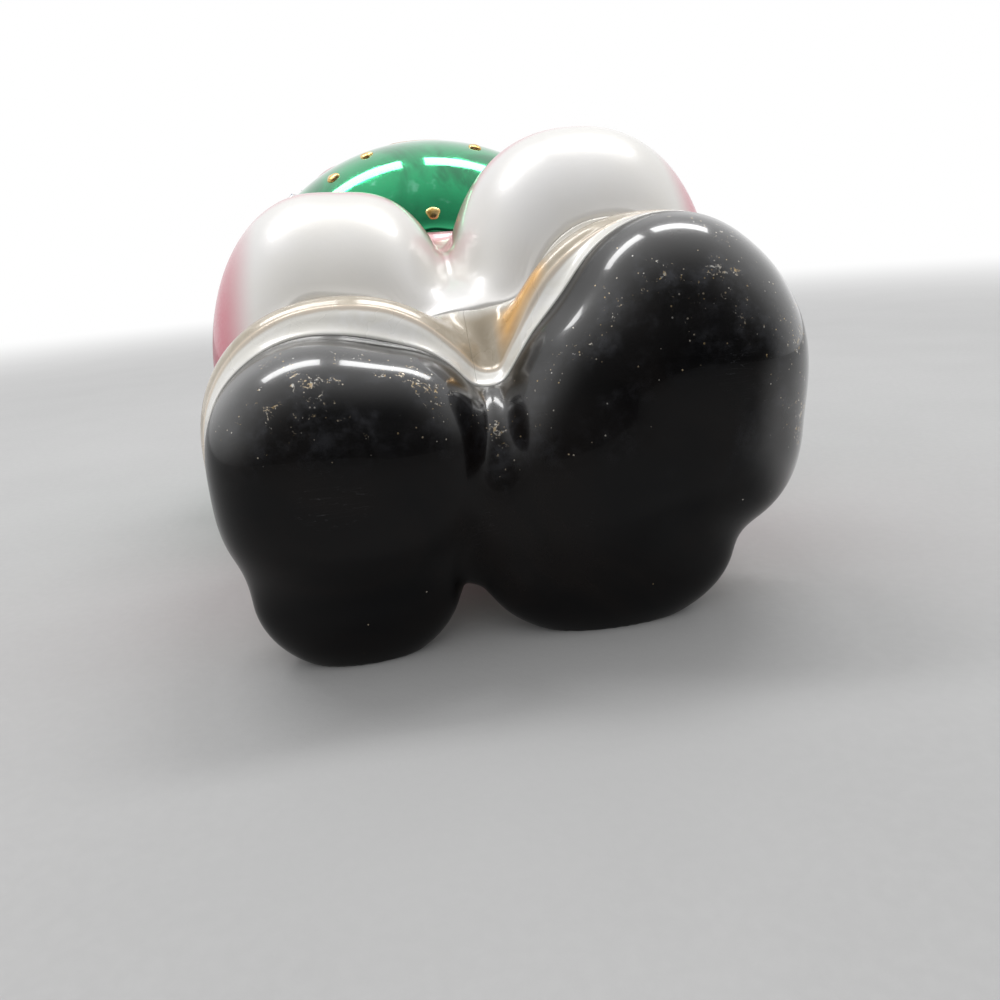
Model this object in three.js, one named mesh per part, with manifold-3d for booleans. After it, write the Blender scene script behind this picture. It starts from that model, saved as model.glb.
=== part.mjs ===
// A blown glass Santa ornament, lying on its back: millimetres, +Z up from the table.
// +Y runs from the soles to the hanging loop, +Z is the figure's front, +X is its left side.
// Heights are taken from the table and lengths from the soles, until the figure is centred at the end.
import * as THREE from "three";
import { mergeVertices } from "three/addons/utils/BufferGeometryUtils.js";
import Module from "manifold-3d";

const wasm = await Module();
wasm.setup();

// Glass, paint and fits
const glassWall = 0.9;
const paintGap = 0.3;
const paintThickness = 0.4;
const paintSeam = 0.3;
const slidingClearance = 0.35;

// Lengths along the body, each stretch starting where the one before it ends
const bootLength = 10.2;
const cuffLength = 6.6;
const trouserLength = 25.3;
const beltFromHem = 19.4;
const beltWidth = 5.6;
const coatLength = 59;
const hairLength = 11.6;
const hatBandWidth = 9.6;
const hatLength = 15;
const neckLength = 7.4;

// Widths and heights of the main forms
const spread = 15.2;
const bootHalfDepth = 10.6;
const leftBootHalfWidth = 13;
const rightBootHalfWidth = 14;
const leftToeHeight = 30.5;
const rightToeHeight = 39.2;
const leftHeelHalfWidth = 9.6;
const rightHeelHalfWidth = 11.8;
const heelHeight = 15.4;
const cuffRise = 3.6;
const trouserHalfWidth = 14.4;
const leftTrouserHeight = 45.1;
const rightTrouserHeight = 49.9;
const bellyHalfWidth = 28.8;
const bellyHeight = 53.4;
const chestHalfWidth = 22;
const waistDepth = 1.7;
const sleeveRadius = 6.6;
const mittenHalfLength = 6.4;
const headHalfWidth = 15;
const headBelowBelly = 17.1;
const noseRadius = 2.8;
const beardHalfWidth = 12.4;
const hatBandHalfWidth = 18;
const hatBandAboveHead = 2.1;
const pompomRadius = 5.3;

// Painted details and moulded hair
const sideDotCount = 2;
const dotRadius = 0.9;
const buckleHalfWidth = 6;
const buckleOverBelt = 1.6;
const tuftsRound = 24;
const tuftRows = 3;
const tuftReach = 2.7;
const tuftDepth = 1.1;
const lockDepth = 1.1;

// Neck, cap and hanger
const neckRadius = 4.9;
const neckHeight = 20;
const capWall = 0.4;
const capSkirtLength = 6.2;
const capFluteCount = 12;
const capFluteDepth = 0.35;
const wireDiameter = 0.9;
const loopInnerRadius = 4;
const wireSpacing = 3.8;
const legLength = 15;

// Mesh density: points round the body, rows over the soles, and the longest step along the body
const columns = 32;
const soleRows = 7;
const rowStep = 5;
const bandRowStep = 2.5;

// Places along the body that follow from the lengths
const cuffStart = bootLength;
const trouserStart = cuffStart + cuffLength;
const hem = trouserStart + trouserLength;
const beltStart = hem + beltFromHem;
const beltEnd = beltStart + beltWidth;
const hatStart = hem + coatLength;
const hairStart = hatStart - hairLength;
const crownStart = hatStart + hatBandWidth;
const neckStart = crownStart + hatLength;
const neckEnd = neckStart + neckLength;
const restHeight = paintGap + paintThickness;
const bellyAt = hem + 18.6;
const mittenAt = beltEnd + 4.8;
const headAt = hatStart - 5;
const mouthAt = headAt - 4.4;
const headHeight = bellyHeight - headBelowBelly;
const hatBandHeight = headHeight + hatBandAboveHead;

// Distance to an egg-shaped lump, about: negative inside, zero on its skin. A higher power makes it boxier.
function lump(x, y, z, halfX, halfY, halfZ, power = 2) {
  const half = [halfX, halfY, halfZ];
  return (p) => {
    const u = [p.x - x, p.y - y, p.z - z].map((gap, i) => Math.abs(gap) / half[i]);
    const k = u.reduce((sum, v) => sum + v ** power, 0) ** (1 / power);
    const steepness = Math.hypot(...u.map((v, i) => v ** (power - 1) / half[i]));
    return (k - 1) / Math.max(steepness * Math.max(k, 1e-6) ** (1 - power), 1e-9);
  };
}

// Distance to a round limb that runs from one point to another and changes radius on the way.
function limb(from, to, fromRadius, toRadius) {
  const start = new THREE.Vector3(...from);
  const run = new THREE.Vector3(...to).sub(start);
  return (p) => {
    const q = p.clone().sub(start);
    const share = THREE.MathUtils.clamp(q.dot(run) / run.lengthSq(), 0, 1);
    const radius = THREE.MathUtils.lerp(fromRadius, toRadius, share);
    return q.addScaledVector(run, -share).length() - radius;
  };
}

// The least of two distances, with the corner between them rounded over a width of soft.
function meld(a, b, soft) {
  const h = Math.max(soft - Math.abs(a - b), 0) / soft;
  return Math.min(a, b) - (h * h * soft) / 4;
}

// Many forms as one, each corner between them rounded.
function joined(forms, soft) {
  return (p) => forms.reduce((all, form) => meld(all, form(p), soft), Infinity);
}

// A lump given by its top and bottom heights.
function lumpBetween(x, y, bottom, top, halfX, halfY, power = 2) {
  return lump(x, y, (top + bottom) / 2, halfX, halfY, (top - bottom) / 2, power);
}

function boots() {
  const side = bootHalfDepth;
  const left = leftBootHalfWidth;
  const right = rightBootHalfWidth;
  const heelAt = side - 4;
  const heelHalfDepth = 4.4;
  return joined(
    [
      lumpBetween(-spread + 2.2, side, 6.6, leftToeHeight - 1.1, left, side, 2.7),
      lumpBetween(-spread - 0.2, side, 12.8, leftToeHeight, left * 0.7, side - 0.7),
      lumpBetween(spread + 2.8, side, 7.4, rightToeHeight - 6.2, right, side, 2.6),
      lumpBetween(spread + 4.6, side - 0.5, 14.8, rightToeHeight, right * 0.78, side - 0.5),
      lumpBetween(spread + 9, side - 0.5, 16, rightToeHeight - 4.2, right * 0.55, side - 0.8),
      lumpBetween(-spread + 1.2, heelAt, -0.8, heelHeight, leftHeelHalfWidth, heelHalfDepth),
      lumpBetween(spread - 3.6, heelAt, -0.8, heelHeight, rightHeelHalfWidth, heelHalfDepth),
      lumpBetween(0.5, side + 2, 4.4, leftToeHeight - 6.6, 9, 9),
    ],
    2.2,
  );
}

function bootCuffs() {
  const at = cuffStart + cuffLength * 0.62;
  const half = cuffLength * 0.644;
  return joined(
    [
      lumpBetween(-spread + 2.1, at, 5.4, leftToeHeight + cuffRise, leftBootHalfWidth + 1.2, half, 2.2),
      lumpBetween(spread + 3.4, at, 5.4, rightToeHeight + 0.4, rightBootHalfWidth + 1.3, half, 2.1),
    ],
    1.2,
  );
}

function trousers() {
  const half = trouserLength / 2 + 3.3;
  const at = trouserStart + half - 1;
  return joined(
    [
      lumpBetween(-spread + 0.5, at, 5, leftTrouserHeight, trouserHalfWidth - 1.2, half),
      lumpBetween(-spread + 6.2, at + 1, 15.4, leftTrouserHeight - 0.5, trouserHalfWidth - 5.4, half - 1),
      lumpBetween(spread + 0.3, at, 6.2, rightTrouserHeight, trouserHalfWidth + 1, half, 2.3),
      lumpBetween(0.4, at + 2, 7, leftTrouserHeight - 17, spread, half + 2),
      limb([0.6, cuffStart + 4, 16.4], [-0.4, hem + 3.4, 30.8], 8, 9.4),
    ],
    2.4,
  );
}

function torso() {
  return joined(
    [
      lumpBetween(0, bellyAt, -1.5, bellyHeight, bellyHalfWidth, 20.6),
      lumpBetween(0, hatStart - 22, 3.6, bellyHeight - 9, chestHalfWidth, 17),
      lumpBetween(0, hem + 4.4, 3.4, bellyHeight - 15.4, bellyHalfWidth - 2, 3.6),
    ],
    3,
  );
}

// How far the belt draws in the body at a given length.
function drawnIn(y) {
  const fromBelt = (y - (beltStart + beltEnd) / 2) / (beltWidth * 0.6);
  return waistDepth * Math.exp(-fromBelt * fromBelt);
}

function arm(side) {
  const shoulder = [side * (chestHalfWidth - 2.4), hatStart - 17, bellyHeight * 0.45];
  const elbow = [side * (bellyHalfWidth - 1.2), mittenAt - 1.6, bellyHeight * 0.39];
  const upper = limb(shoulder, elbow, sleeveRadius + 1.4, sleeveRadius);
  const lower = limb(elbow, wrist(side), sleeveRadius, sleeveRadius - 0.8);
  return joined([upper, lower], 2);
}

function wrist(side) {
  return [side * 16.6, mittenAt, bellyHeight - 11.4];
}

function sleeveFur(side) {
  const [x, y, z] = wrist(side);
  return lump(x, y, z, sleeveRadius + 0.3, sleeveRadius + 0.4, sleeveRadius - 0.5);
}

function mittenCentre(side) {
  return [side * 10, mittenAt + 0.4, bellyHeight - 5.6];
}

function mitten(side) {
  const [x, y, z] = mittenCentre(side);
  return joined(
    [lump(x, y, z, mittenHalfLength, 5.6, 4.4), lump(x - side * 3.4, y - 5, z - 0.4, 3.2, 2.4, 2.6)],
    1.2,
  );
}

function head() {
  return joined(
    [
      lumpBetween(0, headAt, 3.6, headHeight, headHalfWidth, 14.4),
      lump(-6.3, headAt - 0.9, headHeight - 3.2, 5, 4.6, 4),
      lump(6.3, headAt - 0.9, headHeight - 3.2, 5, 4.6, 4),
      lump(0, headAt + 4.6, headHeight - 3.4, 9, 2.6, 3.4),
    ],
    2.4,
  );
}

function nose() {
  return lump(0, headAt + 0.2, headHeight + 0.9, noseRadius, noseRadius + 0.3, noseRadius);
}

function beard() {
  return joined(
    [
      lump(0, headAt - 10, headHeight - 2.6, beardHalfWidth, 10, 9.6),
      lump(0, headAt - 15.5, headHeight + 3.2, beardHalfWidth * 0.7, 8.6, 7),
      lump(-4.7, headAt - 4.2, headHeight + 0.4, 5.6, 2.8, 3),
      lump(4.7, headAt - 4.2, headHeight + 0.4, 5.6, 2.8, 3),
    ],
    1.6,
  );
}

// Half of the moustache: it starts below the nose and runs out to the cheek.
function whisker(side) {
  const start = [side * 0.8, mouthAt + 2.2, headHeight + 5.7];
  return limb(start, [side * 9.4, mouthAt + 1.5, headHeight + 4], 1.8, 0.9);
}

// Height of the beard's wavy locks, which spread from the mouth with sharp partings between them.
function lockHeight(p) {
  const fromMouth = Math.hypot(p.x, p.y - mouthAt);
  const turn = Math.atan2(p.x, mouthAt + 2 - p.y);
  const swirl = 5.5 * turn + 0.75 * Math.sin(0.42 * fromMouth + 2.2 * turn);
  const grown = THREE.MathUtils.clamp(fromMouth / 6, 0.25, 1);
  return lockDepth * grown * Math.abs(Math.cos(swirl)) ** 0.75;
}

// Height of the hat band's moulded tufts: staggered rows of rounded tufts, each a little out of line.
function tuftHeight(p) {
  const pitch = (2 * Math.PI) / tuftsRound;
  const turn = Math.atan2(p.z - neckHeight, p.x);
  let rise = 0;
  for (let row = 0; row < tuftRows; row += 1) {
    const nearest = Math.round(turn / pitch - row / 2);
    for (const tuft of [nearest - 1, nearest, nearest + 1]) {
      const number = (tuft + tuftsRound) % tuftsRound;
      const angle = (tuft + row / 2) * pitch + 0.05 * Math.sin(3.7 * number + 2 * row);
      const line = hatStart + (hatBandWidth * (row + 0.5)) / tuftRows;
      const y = line + 0.35 * Math.sin(2.3 * number + row);
      const gap = Math.hypot(hatBandHalfWidth * (turn - angle), p.y - y) / tuftReach;
      rise = Math.max(rise, 1 - gap * gap);
    }
  }
  return tuftDepth * Math.sqrt(rise) * THREE.MathUtils.clamp((p.z - 1) / 3, 0, 1);
}

function hatBand() {
  const at = hatStart + hatBandWidth / 2;
  return lumpBetween(0, at, -1.4, hatBandHeight, hatBandHalfWidth, hatBandWidth * 0.56);
}

function hat() {
  const tail = [hatBandHalfWidth - 4, crownStart + 2.2, neckHeight + 7];
  return joined(
    [
      limb([0, crownStart - 3, neckHeight], [0, neckStart - 6, neckHeight], 14.6, 6.2),
      limb([5, neckStart - 8.4, neckHeight + 2], tail, 6.4, 4.8),
    ],
    2.4,
  );
}

function pompomCentre() {
  return [hatBandHalfWidth, crownStart - 2.6, neckHeight + 11];
}

function neck() {
  const past = neckEnd + neckLength;
  return limb([0, crownStart, neckHeight], [0, past, neckHeight], neckRadius, neckRadius);
}

function pompom() {
  return lump(...pompomCentre(), pompomRadius, pompomRadius, pompomRadius);
}

// The outside of the glass as one distance: every form melded, and cut flat where it rests on the table.
// The pompom can be left off, to see what lies under it.
function figureForm(extras = [pompom()]) {
  const soft = joined([boots(), bootCuffs(), trousers(), torso(), head()], 1.6);
  const raised = joined(
    [
      ...[-1, 1].flatMap((side) => [arm(side), sleeveFur(side), mitten(side)]),
      nose(),
      beard(),
      hatBand(),
      hat(),
      ...extras,
    ],
    0.9,
  );
  const stem = neck();
  return (p) => {
    const body = soft(p) + drawnIn(p.y);
    const skin = meld(meld(body, raised(p), 1.2), stem(p), 1.6);
    return Math.max(skin, restHeight - p.z);
  };
}

// Height of the line inside the body that every ray to the skin starts from.
function coreHeight(y) {
  const stations = [
    [bootLength, 20],
    [trouserStart + 17.4, 25],
    [bellyAt, 26],
    [hatStart - 22, 24],
    [headAt, neckHeight],
    [neckEnd, neckHeight],
  ];
  const next = Math.max(1, stations.findIndex(([at]) => y <= at));
  const [[y0, z0], [y1, z1]] = [stations[next - 1], stations[next]];
  return THREE.MathUtils.mapLinear(THREE.MathUtils.clamp(y, y0, y1), y0, y1, z0, z1);
}

// The painted stretches of the body from the soles to the neck, each a seam away from the one before.
function stretches() {
  return [
    ["boots_lacquer", black, 0, cuffStart],
    ["boot_cuffs", silver, cuffStart + paintSeam, trouserStart],
    ["trousers_lacquer", pearl, trouserStart + paintSeam, hem],
    ["coat_skirt_lacquer", green, hem + paintSeam, beltStart],
    ["belt_lacquer", black, beltStart + paintSeam, beltEnd],
    ["jacket_lacquer", green, beltEnd + paintSeam, hairStart],
    ["hair_frosting", frost, hairStart + paintSeam, hatStart],
    ["hat_fur_band", frost, hatStart + paintSeam, crownStart],
    ["hat_lacquer", red, crownStart + paintSeam, neckStart],
  ].map(([name, finish, from, to]) => ({ name, finish, from, to }));
}

// A ring of rays about a point on the core: tilt 0 looks at the soles, a right angle square to the body.
function ringOfRays(y, tilt, around = columns) {
  const centre = new THREE.Vector3(0, y, coreHeight(y));
  return Array.from({ length: around }, (_, i) => {
    const turn = (2 * Math.PI * i) / around;
    const out = Math.sin(tilt);
    const direction = new THREE.Vector3(Math.cos(turn) * out, -Math.cos(tilt), Math.sin(turn) * out);
    return { centre, direction };
  });
}

// The rays to the skin, row by row: a fan over the soles, then rings up the body to the open neck.
// Each stretch is given the numbers of its first and last row.
function rays() {
  const square = Math.PI / 2;
  const [soles, ...rest] = stretches();
  const rows = [];
  for (let i = 1; i <= soleRows; i += 1) {
    rows.push(ringOfRays(soles.to, square * (i / soleRows) ** 0.8));
  }
  const placed = [{ ...soles, first: -1, last: rows.length - 1 }];
  for (const stretch of rest) {
    const step = stretch.name === "hat_fur_band" ? bandRowStep : rowStep;
    const steps = Math.ceil((stretch.to - stretch.from) / step);
    const first = rows.length;
    for (let i = 0; i <= steps; i += 1) {
      rows.push(ringOfRays(THREE.MathUtils.lerp(stretch.from, stretch.to, i / steps), square));
    }
    placed.push({ ...stretch, first, last: rows.length - 1 });
  }
  for (const share of [0.2, 1]) {
    rows.push(ringOfRays(THREE.MathUtils.lerp(neckStart, neckEnd, share), square));
  }
  const pole = { ...rows[0][0], direction: new THREE.Vector3(0, -1, 0) };
  return { lines: [pole, ...rows.flat()], lastRow: rows.length - 1, placed };
}

// The outermost point on a ray that lies at a given distance from the form.
function skinPoint(form, { centre, direction }, offset) {
  const at = (t) => centre.clone().addScaledVector(direction, t);
  let outside = 60;
  let inside = outside;
  while (inside > 0 && form(at(inside)) > offset) {
    outside = inside;
    inside -= Math.max(0.1, (form(at(inside)) - offset) * 0.6);
  }
  inside = Math.max(inside, 0);
  for (let i = 0; i < 30; i += 1) {
    const middle = (inside + outside) / 2;
    if (form(at(middle)) > offset) outside = middle;
    else inside = middle;
  }
  const point = at((inside + outside) / 2);
  const floor = restHeight - offset;
  if (Math.abs(point.z - floor) < 1e-4) point.z = floor;
  return point;
}

// Triangles between two rows of the grid as triples of point numbers, with the pole's fan if asked.
function gridFaces(firstRow, lastRow, withPole) {
  const at = (row, i) => 1 + row * columns + (i % columns);
  const faces = [];
  for (let i = 0; i < columns; i += 1) {
    if (withPole) faces.push([0, at(0, i), at(0, i + 1)]);
    for (let row = firstRow; row < lastRow; row += 1) {
      faces.push([at(row, i), at(row + 1, i), at(row + 1, i + 1)]);
      faces.push([at(row, i), at(row + 1, i + 1), at(row, i + 1)]);
    }
  }
  return faces;
}

// A closed shell between two layers of points, from the first row to the last; first -1 starts at the pole.
function shellBetween(innerLayer, outerLayer, first, last) {
  const count = outerLayer.length;
  const outer = gridFaces(Math.max(first, 0), last, first < 0);
  const inner = outer.map(([a, b, c]) => [a + count, c + count, b + count]);
  const rims = [];
  const closeRow = (row, turned) => {
    for (let i = 0; i < columns; i += 1) {
      const a = 1 + row * columns + i;
      const b = 1 + row * columns + ((i + 1) % columns);
      const pair = [[a, a + count, b + count], [a, b + count, b]];
      rims.push(...pair.map(([p, q, r]) => (turned ? [p, r, q] : [p, q, r])));
    }
  };
  closeRow(last, false);
  if (first >= 0) closeRow(first, true);
  const positions = [...outerLayer, ...innerLayer].flatMap((p) => p.toArray());
  return geometryOf(positions, [...outer, ...inner, ...rims].flat());
}

// One layer closed over its open end.
function closedBody(layer, last) {
  const end = layer.length;
  const at = (i) => 1 + last * columns + (i % columns);
  const lid = Array.from({ length: columns }, (_, i) => [end, at(i + 1), at(i)]);
  const middle = layer.slice(at(0), at(0) + columns).reduce((sum, p) => sum.add(p), new THREE.Vector3());
  middle.divideScalar(columns);
  const positions = [...layer, middle].flatMap((p) => p.toArray());
  return geometryOf(positions, [...gridFaces(0, last, true), ...lid].flat());
}

function geometryOf(positions, indices) {
  const geometry = new THREE.BufferGeometry();
  geometry.setAttribute("position", new THREE.BufferAttribute(new Float32Array(positions), 3));
  geometry.setIndex(indices);
  return geometry;
}

function solidOf(geometry) {
  const bare = geometry.clone();
  bare.deleteAttribute("normal");
  bare.deleteAttribute("uv");
  const merged = mergeVertices(bare, 1e-4);
  return new wasm.Manifold(
    new wasm.Mesh({
      numProp: 3,
      vertProperties: new Float32Array(merged.attributes.position.array),
      triVerts: new Uint32Array(merged.index.array),
    }),
  );
}

function geometryFrom(solid) {
  const mesh = solid.getMesh();
  return geometryOf(mesh.vertProperties, Array.from(mesh.triVerts));
}

// A closed lump from rays that spread from its centre to a given distance from a form.
function lumpSolid(form, centre, rows, around, offset) {
  const middle = new THREE.Vector3(...centre);
  const reach = (x, y, z) => {
    const direction = new THREE.Vector3(x, y, z);
    return skinPoint(form, { centre: middle, direction }, offset).toArray();
  };
  const positions = [...reach(0, 1, 0), ...reach(0, -1, 0)];
  const faces = [];
  for (let row = 1; row < rows; row += 1) {
    const tilt = (Math.PI * row) / rows;
    for (let i = 0; i < around; i += 1) {
      const turn = (2 * Math.PI * i) / around;
      const out = Math.sin(tilt);
      positions.push(...reach(out * Math.sin(turn), Math.cos(tilt), out * Math.cos(turn)));
    }
  }
  for (let i = 0; i < around; i += 1) {
    const at = (row, step) => 2 + (row - 1) * around + ((i + step) % around);
    faces.push(0, at(1, 0), at(1, 1), 1, at(rows - 1, 1), at(rows - 1, 0));
    for (let row = 1; row < rows - 1; row += 1) {
      faces.push(at(row, 0), at(row + 1, 0), at(row + 1, 1), at(row, 0), at(row + 1, 1), at(row, 1));
    }
  }
  return solidOf(geometryOf(positions, faces));
}

// A closed drum across the body, from rings of rays with their middles on the core line.
function drumSolid(form, from, to, rows, around, offset) {
  const positions = [];
  const faces = [];
  for (let row = 0; row <= rows; row += 1) {
    const y = THREE.MathUtils.lerp(from, to, row / rows);
    const ring = ringOfRays(y, Math.PI / 2, around);
    positions.push(...ring.flatMap((ray) => skinPoint(form, ray, offset).toArray()));
  }
  positions.push(0, from, coreHeight(from), 0, to, coreHeight(to));
  const ends = (rows + 1) * around;
  for (let i = 0; i < around; i += 1) {
    const at = (row, step) => row * around + ((i + step) % around);
    faces.push(ends, at(0, 0), at(0, 1), ends + 1, at(rows, 1), at(rows, 0));
    for (let row = 0; row < rows; row += 1) {
      faces.push(at(row, 0), at(row + 1, 0), at(row + 1, 1), at(row, 0), at(row + 1, 1), at(row, 1));
    }
  }
  return solidOf(geometryOf(positions, faces));
}

// Regions that a coat of paint covers, each grown by a margin when another coat is kept off it.
const ball = (centre, half) => (grow) => {
  const sphere = new THREE.SphereGeometry(1, 16, 10).scale(...half.map((h) => h + grow));
  return solidOf(sphere.translate(...centre));
};

const block = (low, high) => (grow) => {
  const size = low.map((v, i) => high[i] - v + 2 * grow);
  return solidOf(new THREE.BoxGeometry(...size).translate(...low.map((v, i) => (v + high[i]) / 2)));
};

const pegAlongHeight = (x, y, radius) => (grow) => {
  const peg = new THREE.CylinderGeometry(radius + grow, radius + grow, bellyHeight, 16);
  return solidOf(peg.rotateX(Math.PI / 2).translate(x, y, bellyHeight));
};

// The beard with its locks and moustache, frosted more thickly than a coat of paint.
const beardLump = (grow) => {
  const [hair, right, left] = [beard(), whisker(-1), whisker(1)];
  const frosted = (p) => Math.min(hair(p) - lockHeight(p), right(p), left(p));
  const centre = [0, headAt - 8.5, headHeight - 1];
  return lumpSolid(frosted, centre, 22, 36, paintGap + paintThickness + grow);
};

// Everything on one side of the cleft between the legs, a seam away from it.
function oneSide(side) {
  const far = 200;
  const near = side > 0 ? paintSeam : -far;
  return block([near, -far, -far], [near + far - (side > 0 ? 0 : paintSeam), far, far])(0);
}

// Small gold dots sprinkled along the coat's hem: one in the middle and a rising row to each side.
function coatDots() {
  const places = [[0, hem + 1.7]];
  for (const side of [-1, 1]) {
    for (let i = 1; i <= sideDotCount; i += 1) {
      places.push([side * (2.8 + 4.9 * i), hem + 14.4 - 1.8 * i]);
    }
  }
  return places.map(([x, y], i) => [`coat_dot_${i + 1}`, gold, pegAlongHeight(x, y, dotRadius)]);
}

// The details painted over the stretches, in the order that they are kept clear.
function details() {
  const hands = [-1, 1].flatMap((side) => {
    const name = side > 0 ? "left" : "right";
    const [x, y, z] = mittenCentre(side);
    const handReach = [mittenHalfLength + 1.2, 7.6, 6];
    const furReach = [sleeveRadius + 1.5, sleeveRadius + 1.5, sleeveRadius + 1.6];
    return [
      [`mitten_${name}`, red, ball([x - side * 1.2, y - 1.4, z + 0.4], handReach)],
      [`sleeve_fur_${name}`, frost, ball(wrist(side), furReach)],
    ];
  });
  const cheek = headHalfWidth * 0.77;
  const face = block([-cheek, headAt - 5, headHeight - 8.4], [cheek, hatStart, headHeight + 9]);
  const buckle = block(
    [-buckleHalfWidth, beltStart - buckleOverBelt, bellyHeight * 0.8],
    [buckleHalfWidth, beltEnd + buckleOverBelt, bellyHeight * 1.6],
  );
  const pompomReach = pompomRadius + 1;
  return [
    ...hands,
    ["pompom_frosting", frost, ball(pompomCentre(), [pompomReach, pompomReach, pompomReach])],
    ["beard_frosting", frost, beardLump],
    ["face_lacquer", skinTone, face],
    ...coatDots(),
    ["buckle_gilding", gold, buckle],
  ].map(([name, finish, region]) => ({ name, finish, region }));
}

function material(colour, roughness, metalness, more = {}) {
  return new THREE.MeshStandardMaterial({ color: colour, roughness, metalness, ...more });
}

const glass = () => material(0xdfe6e4, 0.05, 0.1, { transparent: true, opacity: 0.45 });
const black = () => material(0x0b0b0d, 0.08, 0.2);
const silver = () => material(0xd9d2c2, 0.12, 1);
const gold = () => material(0xc79a3c, 0.2, 1);
const pearl = () => material(0xf4e9e2, 0.25, 0.3);
const green = () => material(0x0d8a52, 0.1, 0.9);
const red = () => material(0xa8142b, 0.1, 0.8);
const frost = () => material(0xf2f3f5, 0.7, 0);
const skinTone = () => material(0xe9b79a, 0.35, 0);
const steel = () => material(0xb9b6ae, 0.3, 1);

function named(name, geometry, finish) {
  const mesh = new THREE.Mesh(geometry, finish());
  mesh.name = name;
  return mesh;
}

// The largest separate piece of a cut coat: slivers thinner than the paint are scraped off.
function mainPiece(solid) {
  return solid.decompose().reduce((best, piece) => (piece.volume() > best.volume() ? piece : best));
}

// The fur roll round the hat, frosted over the glass with its tufts. It runs on under the pompom.
function tuftedBand({ from, to }) {
  const bare = figureForm([]);
  const tufted = (p) => bare(p) - tuftHeight(p);
  return drumSolid(tufted, from, to, tuftRows * 3, tuftsRound * 3, paintGap + paintThickness);
}

// Every coat: first the details, then the stretches of the body without the details.
// The beard and the fur roll stand on the glass in their own shape, and the rest is one even coat over it.
function paintedCoats(layerAt, placed) {
  const under = layerAt(paintGap);
  const over = layerAt(paintGap + paintThickness);
  const lastRow = placed.at(-1).last;
  const evenCoat = (first, last) => solidOf(shellBetween(under, over, first, last));
  const whole = evenCoat(-1, lastRow);
  const underPaint = solidOf(closedBody(under, lastRow));
  const taken = [];
  const meshes = [];
  const addCoat = (name, solid, finish) => {
    const left = taken.reduce((rest, region) => rest.subtract(region(paintSeam)), solid);
    meshes.push(named(name, geometryFrom(mainPiece(left)), finish));
  };
  for (const { name, finish, region } of details()) {
    const raised = name === "beard_frosting";
    addCoat(name, raised ? region(0).subtract(underPaint) : whole.intersect(region(0)), finish);
    taken.push(region);
  }
  for (const stretch of placed) {
    const { name, finish, first, last } = stretch;
    if (name === "hat_fur_band") {
      addCoat(name, tuftedBand(stretch).subtract(underPaint), finish);
    } else if (name === "boot_cuffs") {
      addCoat("boot_cuff_left", evenCoat(first, last).intersect(oneSide(1)), finish);
      addCoat("boot_cuff_right", evenCoat(first, last).intersect(oneSide(-1)), finish);
    } else {
      addCoat(name, evenCoat(first, last), finish);
    }
  }
  return meshes;
}

// The stamped cap: a flat top with two wire holes and a fluted skirt that flares at its edge.
function crownCap() {
  const inner = neckRadius + slidingClearance;
  const outer = inner + capWall;
  const under = neckEnd + paintGap;
  const top = under + capWall;
  const skirtEnd = top - capSkirtLength;
  const flare = 0.7;
  const outline = [
    [0, top, 0],
    [outer - 0.8, top, 0],
    [outer, top - 0.7, 0],
    [outer, skirtEnd + 3.2, 0.3],
    [outer + flare * 0.3, skirtEnd + 1.4, 1],
    [outer + flare, skirtEnd, 1],
    [outer + flare - capWall, skirtEnd, 1],
    [inner + flare * 0.3, skirtEnd + 1.4, 1],
    [inner, skirtEnd + 3.2, 0.3],
    [inner, under, 0],
    [0, under, 0],
  ];
  const sides = capFluteCount * 3;
  const positions = [];
  const faces = [];
  outline.forEach(([radius, y, fluted]) => {
    for (let i = 0; i < sides; i += 1) {
      const turn = (2 * Math.PI * i) / sides;
      const wave = fluted * capFluteDepth * (0.5 + 0.5 * Math.cos(turn * capFluteCount));
      const r = radius + (radius > 0 ? wave : 0);
      positions.push(r * Math.cos(turn), y, neckHeight + r * Math.sin(turn));
    }
  });
  for (let row = 0; row + 1 < outline.length; row += 1) {
    for (let i = 0; i < sides; i += 1) {
      const [a, b] = [row * sides + i, row * sides + ((i + 1) % sides)];
      faces.push(a, b, b + sides, a, b + sides, a + sides);
    }
  }
  const holes = [-1, 1].map((side) => {
    const drill = new THREE.CylinderGeometry(1, 1, 4, 12);
    const radius = wireDiameter / 2 + slidingClearance;
    drill.scale(radius, 1, radius).translate((side * wireSpacing) / 2, top, neckHeight);
    return solidOf(drill);
  });
  const shell = holes.reduce((left, hole) => left.subtract(hole), solidOf(closedGrid(positions, faces)));
  return named("crown_cap", geometryFrom(shell), gold);
}

// The same grid with its collapsed triangles on the axis left out.
function closedGrid(positions, faces) {
  const merged = mergeVertices(geometryOf(positions, faces), 1e-4);
  const index = Array.from(merged.index.array);
  const kept = [];
  for (let i = 0; i < index.length; i += 3) {
    const [a, b, c] = index.slice(i, i + 3);
    if (a !== b && b !== c && a !== c) kept.push(a, b, c);
  }
  return geometryOf(merged.attributes.position.array, kept);
}

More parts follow.
